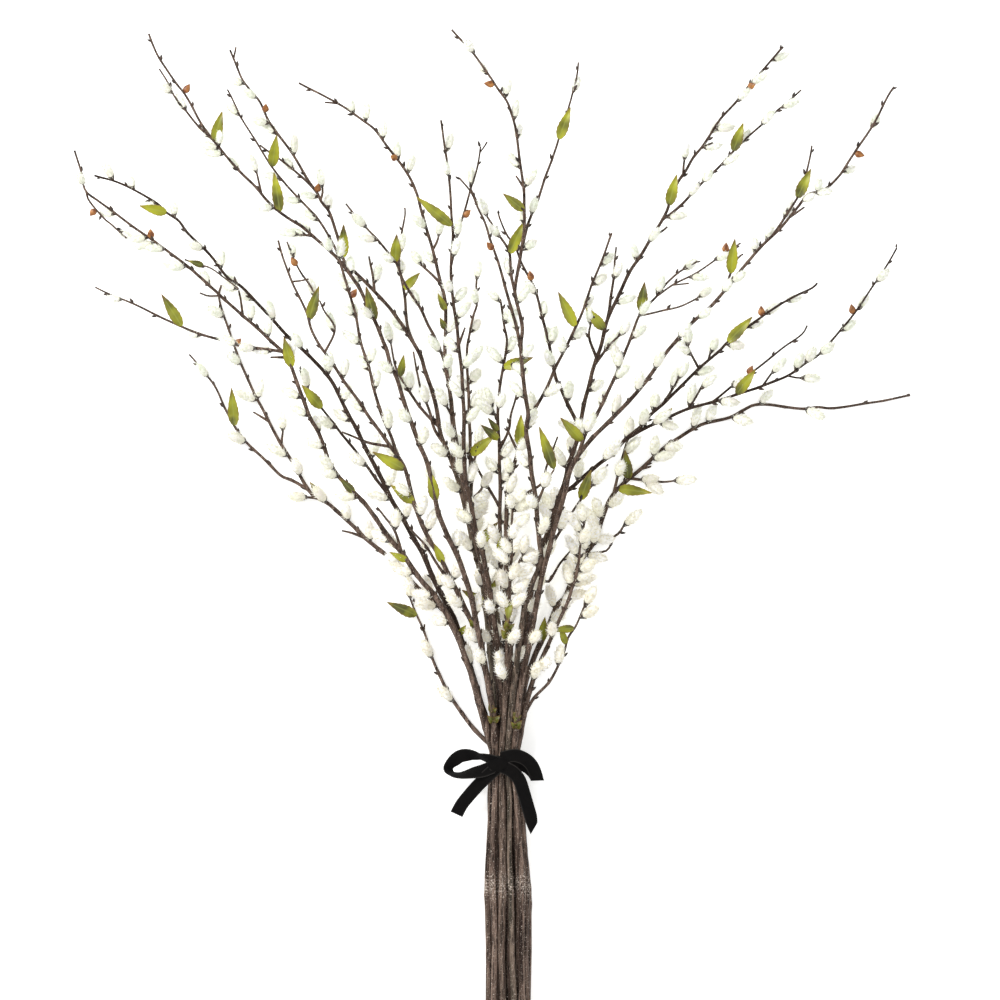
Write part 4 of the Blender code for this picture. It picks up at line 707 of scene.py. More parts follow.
def joined(parts, name, material):
    """The parts as one object, with one material, selected and active."""
    bpy.ops.object.select_all(action="DESELECT")
    for part in parts:
        part.select_set(True)
    bpy.context.view_layer.objects.active = parts[0]
    if len(parts) > 1:
        bpy.ops.object.join()
    whole = bpy.context.object
    whole.name = name
    whole.data.materials.clear()
    whole.data.materials.append(material)
    return whole


def sealed(threshold):
    """Merges what lies closer than that on the active object, and turns its faces outwards."""
    bpy.ops.object.mode_set(mode="EDIT")
    bpy.ops.mesh.select_all(action="SELECT")
    bpy.ops.mesh.remove_doubles(threshold=threshold)
    bpy.ops.mesh.normals_make_consistent(inside=False)
    bpy.ops.object.mode_set(mode="OBJECT")


def wood_piece(name, branches, draw, material):
    """The stem and its twigs as round rods that swell and bend a little at each node."""
    curve = bpy.data.curves.new(name, "CURVE")
    curve.dimensions = "3D"
    curve.bevel_depth = 1.0
    curve.bevel_resolution = 3
    curve.use_fill_caps = True
    nodes = []
    for branch in branches:
        leader = branch is branches[0]
        points = branch.drawn.copy()
        radii = np.interp(branch.drawn_where, range(len(branch.radii)), branch.radii)
        if leader:
            points, radii = stray_below(points, radii / CORNER, draw)
        along = np.concatenate([[0], np.cumsum(np.linalg.norm(np.diff(points, axis=0), axis=1))])
        marks = [0.0]
        while marks[-1] < along[-1]:
            marks.append(marks[-1] + draw.uniform(*NODE_LENGTH))
        sides = [NODE_BEND * (-1) ** i * draw.uniform(*NODE_BENDS) for i in range(len(marks))]
        young = points[:, 1] > YOUNG_FROM
        grown_in = (points[:, 1] - YOUNG_FROM) / STEM_BENDS_EASE if leader else along / TWIG_BENDS_EASE
        sideways = np.interp(along, marks, sides) * np.clip(grown_in, 0, 1)
        run = np.gradient(points, axis=0)
        run = run / np.linalg.norm(run, axis=1)[:, None]
        across = np.column_stack([run[:, 1], -run[:, 0], np.zeros(len(run))])
        points = points + across * sideways[:, None]
        for mark in marks[1:]:
            swell = np.exp(-((along - mark) / NODE_HALF_LENGTH) ** 2)
            radii = radii * (1 + NODE_SWELL * swell * young)
        radii = radii + BARK_SWELL * young
        points[:, 2] = np.maximum(points[:, 2], radii)
        points[-1] += (points[-2] - points[-1]) * TIP_INSET
        if leader:
            points[0] += (points[1] - points[0]) * FOOT_INSET
        branch.drawn = points
        branch.thick = radii
        spline = curve.splines.new("POLY")
        spline.points.add(len(points) - 1)
        for point, spot, radius in zip(spline.points, points, radii):
            point.co = (*spot, 1)
            point.radius = radius
        nodes += [(branch, float(np.interp(mark, along, branch.drawn_where))) for mark in marks[1:-1]]
    rods = bpy.data.objects.new(name, curve)
    bpy.context.scene.collection.objects.link(rods)
    joined([rods], name, material)
    bpy.ops.object.convert(target="MESH")
    wood = bpy.context.object
    sealed(WOOD_WELD)
    bpy.ops.object.shade_smooth_by_angle(angle=SMOOTH_ANGLE)
    tint = wood.data.attributes.new("tint", "FLOAT", "POINT")
    tone = draw.random()
    tint.data.foreach_set("value", [tone] * len(wood.data.vertices))
    return wood, nodes


room = Room()
wood = {}
for stem_name, stem in STEMS.items():
    wood[stem_name] = [leader_branch(stem)]
    take_wood(stem_name, wood[stem_name][0], room)
for stem_name, stem in STEMS.items():
    for text, rise in stem["twigs"]:
        twig = twig_branch(stem_name, text, rise, wood[stem_name], room)
        wood[stem_name].append(twig)
        take_wood(stem_name, twig, room)

bark = willow_bark()
wood_nodes = {}
node_draw = random.Random(WOOD_SEED)
for stem_name, branches in wood.items():
    piece, wood_nodes[stem_name] = wood_piece(stem_name + "_wood", branches, node_draw, bark)
    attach(piece, "root")
    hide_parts(stem_name)

# The catkins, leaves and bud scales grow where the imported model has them, by the same rules and
# the same seeded draws. A second draw adds every other catkin, which the model leaves out.
SEED = 7
CATKIN_HALF_WIDTH = 0.0064
CATKIN_LENGTH = (0.020, 0.026)
CATKIN_FULLNESS = (0.88, 1.08)
CATKIN_NECK = 0.0034
# Where a catkin's shoulder and belly begin, and the shoulder's share of the belly's width
SHOULDER_AT = 0.3
BELLY_AT = 0.48
SHOULDER_SHARE = 0.82
# Catkins are this much larger low down in the bunch than in its tips
CATKIN_GAIN = 0.2
TIPS_Y_PX = 250.0
LOW_Y_PX = 480.0
ROOT_OFF_CENTRE = 0.35
# A catkin or a scale is rooted this share of its length before its middle
ROOT_BACK = 0.42
CATKIN_CLEAR = 0.001
# How much more a drawn catkin leans along its wood than the plain solid does
CATKIN_HUG = 0.55
SPINDLE_FULL = 1.12
# Which side of the wood a catkin sits on, from 1 on top to -1 underneath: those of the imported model
# mostly sit on top, and those that fill the bunch mostly underneath
MODEL_TURNS = (1.0, 1.0, 0.6, -0.8)
FILL_TURNS = (-0.9, -0.6, 0.5, -0.8)
# The turns that are tried when the first has no room
OTHER_TURNS = (1.0, -1.0, 0.5, -0.5, 0.0)
# How far the fur reaches from a catkin's middle line, in half widths, and where along it
FUR_REACH = 1.56
FUR_BELLY = 0.5
TIP_REACH = 0.0047
LEAF_SLENDER = 0.19
LEAF_HALF_WIDTHS = (0.0040, 0.0068)
LEAF_CORE = 0.001
# How steeply a leaf rises, then the other rises that are tried, and the broad part of its length
LEAF_RISE = (0.15, 0.45)
OTHER_LEAF_RISES = (0.7, -0.6, 0.0, 1.0)
LEAF_BROAD = (0.25, 0.75)
LEAF_ROOM = 0.9
SCALE_SIZE = (0.013, 0.0036)
SCALE_TURN = (0.2, 0.8)
OTHER_SCALE_TURNS = (-0.6, 1.0, 0.0)
SCALE_ROOT = 0.002


def stand(root_where, branch, middle, reach, turn, length):
    """The root and the direction of a thing that leans along its wood past a given middle."""
    step = float(np.linalg.norm(branch.points[1] - branch.points[0]))
    on_wood = branch.at(root_where)
    aside = float(np.linalg.norm(middle[:2] - on_wood[:2]))
    depth = math.sqrt(max(reach * reach - aside * aside, 0.0))
    centre = np.array([middle[0], middle[1], on_wood[2] + depth * turn])
    outward = (centre - on_wood) / np.linalg.norm(centre - on_wood)
    back = max(0.0, root_where - ROOT_BACK * length / step)
    root = branch.at(back) + outward * (ROOT_OFF_CENTRE * branch.radius_at(back))
    lean = centre - root
    return root, lean / np.linalg.norm(lean), back


def catkin_rods(root, lean, length, half_width):
    """The space of a catkin, as the rods of its neck, its shoulder and its belly."""
    shoulder = root + lean * (SHOULDER_AT * length)
    belly = root + lean * (BELLY_AT * length)
    end = root + lean * (length - half_width)
    return [(root, shoulder, CATKIN_NECK), (shoulder, belly, SHOULDER_SHARE * half_width),
            (belly, end, half_width)]


def kept_inside(root, tip, half_width):
    """The tip of a catkin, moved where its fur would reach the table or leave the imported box."""
    reach = FUR_REACH * half_width
    belly = root + (tip - root) * FUR_BELLY
    wanted = np.clip(belly, np.array(cad_box[0]) + reach, np.array(cad_box[1]) - reach)
    moved = tip + (wanted - belly) / FUR_BELLY
    return np.clip(moved, np.array(cad_box[0]) + TIP_REACH, np.array(cad_box[1]) - TIP_REACH)


def grow_catkins(name, spots, branches, room, draw, first_turns, fill):
    """Catkins as (root, tip, half width), each on the nearest wood and leaning to its tip, and the
    spots that had no room. To fill the bunch, each takes the turn with the most room instead."""
    grown, missed = [], []
    for px, py in spots:
        gain = 1 + CATKIN_GAIN * min(max((py - TIPS_Y_PX) / (LOW_Y_PX - TIPS_Y_PX), 0.0), 1.0)
        length = gain * draw.uniform(*CATKIN_LENGTH)
        half_width = gain * CATKIN_HALF_WIDTH * draw.uniform(*CATKIN_FULLNESS)
        first_turn = draw.choice(first_turns)
        middle = place(px, py)
        where, branch = nearest_branch(middle[:2], branches)[1:]
        reach = half_width * SPINDLE_FULL + branch.radius_at(where) + CATKIN_CLEAR
        best = None
        for turn in (first_turn, *OTHER_TURNS):
            root, lean, back = stand(where, branch, middle, reach, turn, length)
            rods = catkin_rods(root, lean, length, half_width)
            spare = min(room.free(name, *rod) for rod in rods)
            if best is None or spare > best[0]:
                best = (spare, root, lean, back, rods)
            if spare > 0:
                break
        spare, root, lean, back, rods = best
        if spare <= 0 and not fill:
            missed.append((px, py))
            continue
        for rod in rods:
            room.take(name, *rod)
        way = lean + branch.direction(where) * CATKIN_HUG
        way = way / np.linalg.norm(way)
        foot = root + branch.shift(back)
        grown.append((foot, kept_inside(foot, foot + way * length, half_width), half_width))
    return grown, missed


def grow_leaves(name, stem, branches, room, draw):
    """Leaves as (root, tip, half width): the root on the nearest wood, the tip where it points."""
    grown = []
    for pair in stem["leaves"]:
        (px, py), (qx, qy) = pixels(pair)
        start = place(px, py)
        where, branch = nearest_branch(start[:2], branches)[1:]
        root = branch.at(where)
        flat = place(qx, qy)
        length = float(np.linalg.norm(flat[:2] - root[:2]))
        half_width = float(np.clip(LEAF_SLENDER * length, *LEAF_HALF_WIDTHS))
        first = draw.uniform(*LEAF_RISE)
        for turn in (first, -first, *OTHER_LEAF_RISES):
            tip = np.array([flat[0], flat[1], root[2] + turn * length])
            low, high = [root + (tip - root) * share for share in LEAF_BROAD]
            clear = room.free(name, low, high, half_width * LEAF_ROOM) > 0
            if clear and room.free(name, root, tip, LEAF_CORE) > 0:
                room.take(name, low, high, half_width * LEAF_ROOM)
                room.take(name, root, tip, LEAF_CORE)
                grown.append((root + branch.shift(where), tip, half_width))
                break
    return grown


def grow_scales(name, stem, branches, room, draw):
    """Russet bud scales as (root, tip, half width), close against the wood."""
    grown = []
    for px, py in pixels(stem["scales"]):
        middle = place(px, py)
        where, branch = nearest_branch(middle[:2], branches)[1:]
        length, half_width = SCALE_SIZE
        reach = half_width + branch.radius_at(where)
        for turn in (draw.uniform(*SCALE_TURN), *OTHER_SCALE_TURNS):
            root, lean, back = stand(where, branch, middle, reach, turn, length)
            tip = root + lean * length
            if room.free(name, root + lean * SCALE_ROOT, tip, half_width) > 0:
                room.take(name, root, tip, half_width)
                grown.append((root + branch.shift(back), tip + branch.shift(where), half_width))
                break
    return grown


catkins, leaves, scales, left_over = {}, {}, {}, {}
growth_draw = random.Random(SEED)
for stem_name, stem in STEMS.items():
    branches, spots = wood[stem_name], pixels(stem["catkins"])
    leaves[stem_name] = grow_leaves(stem_name, stem, branches, room, growth_draw)
    catkins[stem_name], missed = grow_catkins(stem_name, spots[::2], branches, room, growth_draw,
                                              MODEL_TURNS, False)
    left_over[stem_name] = spots[1::2] + missed
    scales[stem_name] = grow_scales(stem_name, stem, branches, room, growth_draw)
second_draw = random.Random(SEED + 1)
for stem_name, spots in left_over.items():
    catkins[stem_name] += grow_catkins(stem_name, spots, wood[stem_name], room, second_draw,
                                       FILL_TURNS, True)[0]


def stood(root, way, wide, long):
    """Where a model goes: its foot at the root, its length along the way, sized across and along."""
    turn = Vector(way).to_track_quat("Z", "Y").to_matrix().to_4x4()
    return Matrix.Translation(Vector(root)) @ turn @ Matrix.Diagonal((wide, wide, long, 1))


def copies(name, models, stands, material):
    """One object made of copies of the models, each with its own mesh, turn, size and place."""
    parts = []
    for model, matrix in stands:
        part = models[model].copy()
        part.data = models[model].data.copy()
        part.data.transform(matrix)
        bpy.context.scene.collection.objects.link(part)
        parts.append(part)
    return joined(parts, name, material)


def put_away(models):
    """Removes the models once their copies are made."""
    for model in models:
        bpy.data.objects.remove(model, do_unlink=True)


# The catkins: furry flower buds, creamy white and silky, with grey-green and painted shade in the depth of
# the fur.
# Each is an egg of short tufts that lie towards its tip, standing on a small brown cap.
MODEL_LENGTH = 0.024
MODEL_HALF_WIDTH = 0.0066
CORE_SHARE = 0.80
# The tufts of hair stand in rows round the egg, from its foot to its tip
TUFT_ROWS = (0.06, 0.14, 0.22, 0.30, 0.38, 0.46, 0.54, 0.62, 0.70, 0.78, 0.86, 0.93, 0.98)
TUFTS_IN_ROW = (4, 6, 7, 8, 8, 8, 8, 8, 8, 7, 6, 5, 4)
TUFT_LENGTH = 0.0050
TUFT_RADIUS = 0.00046
# How far a tuft stands off the egg, how its length varies, and how each row is turned from the last
TUFT_LIFT = (0.4, 1.5)
TUFT_LENGTHS = (0.7, 1.2)
TUFT_TWIST = 9
# How far a tuft strays round its row, in tufts, and along the egg, in lengths of it
TUFT_ASIDE = 0.3
TUFT_ALONG = 0.03
# How deep tufts are rooted, as a share of the width, and how much shorter they are at the tip
TUFT_ROOT = 0.93
TUFT_SHORTER = 0.25
# The step, in lengths of the egg, that its slope is measured over
SLOPE_STEP = 0.02
CATKIN_MODELS = 6
FIRST_CATKIN_SEED = 100
TURN_SEED = 21
# A painted glow on the fur, for the little light that thin white hairs pass on from behind, which keeps its
# shaded sides pale
FUR_GLOW = 0.18


def egg(share):
    """A catkin's half width at a share of its length, as a share of the fullest."""
    share = min(max(share, 0.0), 1.0)
    return max(math.sin(math.pi * share ** 1.25), 0.0) ** 0.5


def drawn_out(segments, rings, length, half_width, thin=1.0):
    """A ball drawn out from its foot to its tip, as wide at each share of its length as it is told."""
    bpy.ops.object.select_all(action="DESELECT")
    bpy.ops.mesh.primitive_uv_sphere_add(segments=segments, ring_count=rings, radius=1)
    form = bpy.context.object
    for vert in form.data.vertices:
        share = (vert.co.z + 1) / 2
        flat = Vector((vert.co.x, vert.co.y))
        around = flat.normalized() * half_width(share) if flat.length > 0.01 else flat * 0
        vert.co = (around.x, around.y * thin, share * length)
    return form


def catkin_model(number):
    """An egg-shaped core and the tufts of hair that grow on it."""
    draw = random.Random(FIRST_CATKIN_SEED + number)
    core = drawn_out(8, 7, MODEL_LENGTH, lambda share: egg(share) * MODEL_HALF_WIDTH * CORE_SHARE)
    bpy.ops.object.mode_set(mode="EDIT")
    for row, count in zip(TUFT_ROWS, TUFTS_IN_ROW):
        for i in range(count):
            angle = math.tau * (i + draw.uniform(-TUFT_ASIDE, TUFT_ASIDE)) / count + row * TUFT_TWIST
            at = row + draw.uniform(-TUFT_ALONG, TUFT_ALONG)
            width = egg(at) * MODEL_HALF_WIDTH * CORE_SHARE
            widening = egg(at + SLOPE_STEP) - egg(at - SLOPE_STEP)
            slope = widening * MODEL_HALF_WIDTH / (2 * SLOPE_STEP * MODEL_LENGTH)
            lift = draw.uniform(*TUFT_LIFT)
            way = Vector((slope + lift, 0, 1)).normalized()
            length = TUFT_LENGTH * draw.uniform(*TUFT_LENGTHS) * (1 - TUFT_SHORTER * row)
            turn = Matrix.Rotation(angle, 4, "Z")
            base = turn @ Vector((width * TUFT_ROOT, 0, at * MODEL_LENGTH))
            way = turn @ way
            middle = base + way * (length / 2)
            bpy.ops.mesh.primitive_cone_add(vertices=3, radius1=TUFT_RADIUS, radius2=0, depth=length,
                                            location=middle,
                                            rotation=way.to_track_quat("Z", "Y").to_euler())
    bpy.ops.object.mode_set(mode="OBJECT")
    length_map = core.data.uv_layers.active or core.data.uv_layers.new(name="UVMap")
    for loop in core.data.loops:
        spot = core.data.vertices[loop.vertex_index].co
        share = math.atan2(spot.y, spot.x) / math.tau + 0.5
        length_map.data[loop.index].uv = (share, spot.z / MODEL_LENGTH)
    bpy.ops.object.shade_smooth()
    return core


def catkin_fur():
    """Silky catkin fur: fine white hairs over a grey-green body, so it is matt, soft and pale, with a
    painted glow for the little light that passes through the hairs. It is darker near the root. In spots
    where the hairs part, the body shows under painted shade, painted shade lies between the strands, and
    some catkins are whiter or greyer than others."""
    fur, shader = new_material("silky catkin fur")
    where = node(fur, "TexCoord", {}, "Object")
    on_piece = node(fur, "TexCoord", {}, "UV")
    up_catkin = node(fur, "SeparateXYZ", {"Vector": on_piece}, "Y")
    large = node(fur, "TexNoise", {"Vector": where, "Scale": 45.0, "Detail": 1.0})
    # Where the hairs part in spots of about 3 mm, the grey-green body shows through, darkened further with
    # painted shade
    partings = node(fur, "TexNoise", {"Vector": where, "Scale": 300.0, "Detail": 2.0, "Roughness": 0.6})
    # Single hairs are too fine to show, so the strands are drawn 0.8 mm apart
    strands = node(fur, "TexNoise", {"Vector": where, "Scale": 1250.0, "Detail": 2.0})
    rise = node(fur, "MapRange", {"Value": up_catkin, "From Min": 0.0, "From Max": 0.55})
    warm = node(fur, "MapRange", {"Value": large, "From Min": 0.4, "From Max": 0.62})
    # The catkins near the tips are younger and a cool grey-green, those low down are cream
    along_bunch = node(fur, "SeparateXYZ", {"Vector": where}, "Y")
    young = node(fur, "MapRange", {"Value": along_bunch, "From Min": 0.22, "From Max": 0.5})
    tone = node(fur, "Mix", {"Factor": young, "A": colour("#faf5e0"), "B": colour("#eaf0df")}, 2,
                data_type="RGBA")
    # The colours in the partings: the grey-green body with painted shade over it, cream low down and
    # grey-green near the tips
    shade = node(fur, "Mix", {"Factor": young, "A": colour("#d3cbab"), "B": colour("#c9cfb2")}, 2,
                 data_type="RGBA")
    pale = node(fur, "Mix", {"Factor": warm, "A": colour("#fffefb"), "B": tone}, 2, data_type="RGBA")
    # Some catkins are older and greyer than their neighbours
    ages = node(fur, "TexNoise", {"Vector": where, "Scale": 33.0, "Detail": 1.0})
    grey = node(fur, "MapRange", {"Value": ages, "From Min": 0.54, "From Max": 0.7, "To Max": 0.8})
    greyed = node(fur, "Mix", {"Factor": grey, "A": pale, "B": colour("#ded7cd")}, 2, data_type="RGBA")
    hair = node(fur, "Mix", {"Factor": rise, "A": colour("#dfdac2"), "B": greyed}, 2, data_type="RGBA")
    parting_and_shade = node(fur, "MapRange", {"Value": partings, "From Min": 0.36, "From Max": 0.56,
                                     "To Min": 0.85, "To Max": 0.0})
    # Between the strands the fur is darkened a little: painted shade in its depth
    depth = node(fur, "MapRange", {"Value": strands, "From Min": 0.3, "From Max": 0.55,
                                   "To Min": 0.25, "To Max": 0.0})
    # Over the hair lie the partings, where the body shows under painted shade, and the painted shade
    # between the strands
    for amount, over in ((parting_and_shade, shade), (depth, colour("#cbc5b4"))):
        hair = node(fur, "Mix", {"Factor": amount, "A": hair, "B": over}, 2, data_type="RGBA")
    bump = node(fur, "Bump", {"Height": strands, "Strength": 0.35, "Distance": 0.0005})
    # The emission is the fur's painted glow
    fill(fur, shader, {"Base Color": hair, "Normal": bump, "Roughness": 0.9, "Specular IOR Level": 0.2,
                       "Sheen Weight": 0.5, "Sheen Roughness": 0.4,
                       "Emission Color": colour("#fdfaf4"), "Emission Strength": FUR_GLOW})
    return fur


catkin_models = [catkin_model(number) for number in range(CATKIN_MODELS)]
fur = catkin_fur()
turn_draw = random.Random(TURN_SEED)
for stem_name, grown in catkins.items():
    stands = []
    for root, tip, half_width in grown:
        length = float(np.linalg.norm(tip - root))
        spin = Matrix.Rotation(turn_draw.uniform(0, math.tau), 4, "Z")
        matrix = stood(root, tip - root, half_width / MODEL_HALF_WIDTH, length / MODEL_LENGTH) @ spin
        stands.append((turn_draw.randrange(CATKIN_MODELS), matrix))
    piece = copies(stem_name + "_catkins", catkin_models, stands, fur)
    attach(piece, "root")
    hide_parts(stem_name)
put_away(catkin_models)

# The leaves: the first narrow leaves of spring, yellow-green to olive, some with russet tips.
# Each is a thin pointed blade with a wavy edge, folded a little along its rib and arched.
LEAF_MODEL_LENGTH = 0.036
LEAF_MODEL_HALF_WIDTH = 0.0054
LEAF_THICKNESS = 0.0006
LEAF_ARCH = 0.06
LEAF_FOLD = 0.35
# How much the blade's edge waves up and down, and how much each tooth and notch adds or takes
LEAF_WAVE = 0.0006
LEAF_TOOTH = (0.06, -0.04)
LEAF_WAVES = 11
LEAF_STATIONS = 14
LEAF_COLUMNS = 6
LEAF_FULL = 1.12
LEAF_MODELS = 2
FIRST_LEAF_SEED = 200


def thickened(piece, thickness, offset):
    """Gives a thin blade or a cloth its thickness."""
    wall = piece.modifiers.new("thickness", "SOLIDIFY")
    wall.thickness = thickness
    wall.offset = offset
    bpy.ops.object.modifier_apply(modifier="thickness")


def leaf_outline(share):
    """A leaf is broadest below its middle and is drawn out to a fine point."""
    return max(math.sin(math.pi * share ** 0.8) ** 0.8 * (1 - 0.35 * share), 0.02)


def leaf_model(number):
    """A grid that is drawn to a leaf's outline, folded and arched, and given its thickness."""
    draw = random.Random(FIRST_LEAF_SEED + number)
    wave = draw.uniform(0.0, math.tau)
    bpy.ops.object.select_all(action="DESELECT")
    bpy.ops.mesh.primitive_grid_add(x_subdivisions=LEAF_STATIONS, y_subdivisions=LEAF_COLUMNS, size=2,
                                    calc_uvs=True)
    blade = bpy.context.object
    for vert in blade.data.vertices:
        share, side = (vert.co.x + 1) / 2, vert.co.y
        tooth = 1 + LEAF_TOOTH[0 if round(share * LEAF_STATIONS) % 2 else 1] * abs(side)
        width = LEAF_MODEL_HALF_WIDTH * leaf_outline(share) * tooth * LEAF_FULL
        lift = LEAF_FOLD * abs(side) * width + LEAF_WAVE * math.sin(share * LEAF_WAVES + wave) * side
        arch = math.sin(math.pi * share) * LEAF_ARCH * LEAF_MODEL_LENGTH
        vert.co = (side * width, lift + arch, share * LEAF_MODEL_LENGTH)
    thickened(blade, LEAF_THICKNESS, 0)
    sealed(THIN_WELD)
    bpy.ops.object.shade_smooth_by_angle(angle=SMOOTH_ANGLE)
    return blade


def fresh_leaf():
    """Fresh willow leaf: thin and waxy, so it has a soft gloss. It is yellow-green to olive, with a
    pale midrib, and russet where it has begun to dry."""
    leaf, shader = new_material("fresh willow leaf")
    on_leaf = node(leaf, "TexCoord", {}, "UV")
    along = node(leaf, "SeparateXYZ", {"Vector": on_leaf}, "X")
    across = node(leaf, "SeparateXYZ", {"Vector": on_leaf}, "Y")
    large = node(leaf, "TexNoise", {"Vector": node(leaf, "TexCoord", {}, "Object"), "Scale": 28.0,
                                    "Detail": 2.0})
    green = node(leaf, "MapRange", {"Value": large, "From Min": 0.4, "From Max": 0.6})
    blade = node(leaf, "Mix", {"Factor": green, "A": colour("#a8a924"), "B": colour("#55551b")}, 2,
                 data_type="RGBA")
    off_rib = node(leaf, "Math", {0: across, 1: 0.5}, operation="SUBTRACT")
    from_rib = node(leaf, "Math", {0: off_rib}, operation="ABSOLUTE")
    rib = node(leaf, "MapRange", {"Value": from_rib, "From Min": 0.03, "From Max": 0.09,
                                  "To Min": 0.28, "To Max": 0.0})
    # The tip and the edges are the first to dry and turn russet
    tip = node(leaf, "MapRange", {"Value": along, "From Min": 0.75, "From Max": 1.0, "To Max": 0.6})
    edge = node(leaf, "MapRange", {"Value": from_rib, "From Min": 0.4, "From Max": 0.5, "To Max": 0.55})
    dry = node(leaf, "Math", {0: tip, 1: edge}, operation="MAXIMUM")
    for amount, code in ((rib, "#a9b45a"), (dry, "#8a5a2c")):
        blade = node(leaf, "Mix", {"Factor": amount, "A": blade, "B": colour(code)}, 2, data_type="RGBA")
    fill(leaf, shader, {"Base Color": blade, "Roughness": 0.45})
    return leaf


# Tufts of small crumpled leaves that have just opened: where they grow, in pixels, and their size
YOUNG_TUFTS = {"stem_top_left": "493,722 491,712", "stem_right_leader": "523,720 519,728",
               "stem_inner_left": "455,636", "stem_middle_bushy": "517,638 514,630"}
YOUNG_LEAVES = 5
YOUNG_LENGTH = (0.008, 0.015)
YOUNG_SLENDER = (0.22, 0.34)
YOUNG_RISE = (0.3, 0.8)
# How far the young leaves point outwards, and how far towards the tips of the bunch
YOUNG_OUT = 0.6
YOUNG_AHEAD = 0.8
YOUNG_SEED = 41
young_draw = random.Random(YOUNG_SEED)
for stem_name, text in YOUNG_TUFTS.items():
    for spot in pixels(text):
        where, branch = nearest_branch(place(*spot)[:2], wood[stem_name])[1:]
        root = branch.drawn_at(where)
        for number in range(YOUNG_LEAVES):
            turn = math.tau * (number + young_draw.random()) / YOUNG_LEAVES
            rise = young_draw.uniform(*YOUNG_RISE)
            way = np.array([YOUNG_OUT * math.cos(turn), YOUNG_AHEAD + YOUNG_OUT * math.sin(turn), rise])
            length = young_draw.uniform(*YOUNG_LENGTH)
            tip = root + way / np.linalg.norm(way) * length
            leaves[stem_name].append((root, tip, length * young_draw.uniform(*YOUNG_SLENDER)))

leaf_models = [leaf_model(number) for number in range(LEAF_MODELS)]
leaf_green = fresh_leaf()
for stem_name, grown in leaves.items():
    if not grown:
        continue
    stands = []
    for number, (root, tip, half_width) in enumerate(grown):
        run = Vector(tip - root)
        along = run.normalized()
        across = along.cross(Vector((0, 0, 1))).normalized()
        up = across.cross(along)
        wide = half_width / LEAF_MODEL_HALF_WIDTH
        long = run.length / LEAF_MODEL_LENGTH
        turn = Matrix((across, up, along)).transposed().to_4x4()
        matrix = Matrix.Translation(Vector(root)) @ turn @ Matrix.Diagonal((wide, wide, long, 1))
        stands.append((number % LEAF_MODELS, matrix))
    piece = copies(stem_name + "_leaves", leaf_models, stands, leaf_green)
    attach(piece, "root")
    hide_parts(stem_name)
put_away(leaf_models)

# The buds: small pointed brown buds at the nodes of the year's wood, and the dark cap that each
# catkin stands on. They are leathery, nearly as dark as the bark, and lie close against it.
BUD_LENGTH = 0.0052
BUD_HALF_WIDTH = 0.0014
BUD_SIZES = (0.95, 1.6)
# How far a bud is turned round its twig from straight out at its side, in radians
BUD_TURNS = (-1.1, 0.6)
BUDS_FROM_Y = 0.06
BUD_LOWEST = 0.002
# A bud's foot lies this share of the twig's radius off its middle, and its tip leans this far out
BUD_ROOT = 0.55
BUD_LEAN = 0.6
BUD_SEED = 31
CAP_LENGTH = 0.0055
CAP_FOOT_RADIUS = 0.0012
CAP_RIM_RADIUS = 0.0040
CAP_POINTS = 0.0016


def bud_half_width(share):
    """A bud is fullest below its middle."""
    round_share = math.sin(math.pi * min(share * 0.9 + 0.1, 1.0)) ** 0.8
    return BUD_HALF_WIDTH * round_share * (1.15 - 0.5 * share)


def cap_model():
    """The cup of scales at a catkin's foot, its rim drawn up to points."""
    bpy.ops.object.select_all(action="DESELECT")
    bpy.ops.mesh.primitive_cone_add(vertices=8, radius1=CAP_FOOT_RADIUS, radius2=CAP_RIM_RADIUS,
                                    depth=CAP_LENGTH, location=(0, 0, CAP_LENGTH / 2))
    cup = bpy.context.object
    bpy.ops.object.transform_apply(location=True, rotation=True, scale=True)
    for vert in cup.data.vertices:
        if vert.co.z > CAP_LENGTH / 2:
            vert.co.z += CAP_POINTS * math.cos(2 * math.atan2(vert.co.y, vert.co.x))
    bpy.ops.object.shade_smooth_by_angle(angle=math.radians(60))
    return cup


def bud_skin(name, dark, light):
    """Willow bud skin: leathery, with a dull gloss, mottled between a darker and a lighter brown."""
    skin, shader = new_material(name)
    where = node(skin, "TexCoord", {}, "Object")
    mottle = node(skin, "TexNoise", {"Vector": where, "Scale": 160.0, "Detail": 3.0})
    spread = node(skin, "MapRange", {"Value": mottle, "From Min": 0.36, "From Max": 0.64})
    brown = node(skin, "Mix", {"Factor": spread, "A": colour(dark), "B": colour(light)}, 2,
                 data_type="RGBA")
    fill(skin, shader, {"Base Color": brown, "Roughness": 0.45})
    return skin


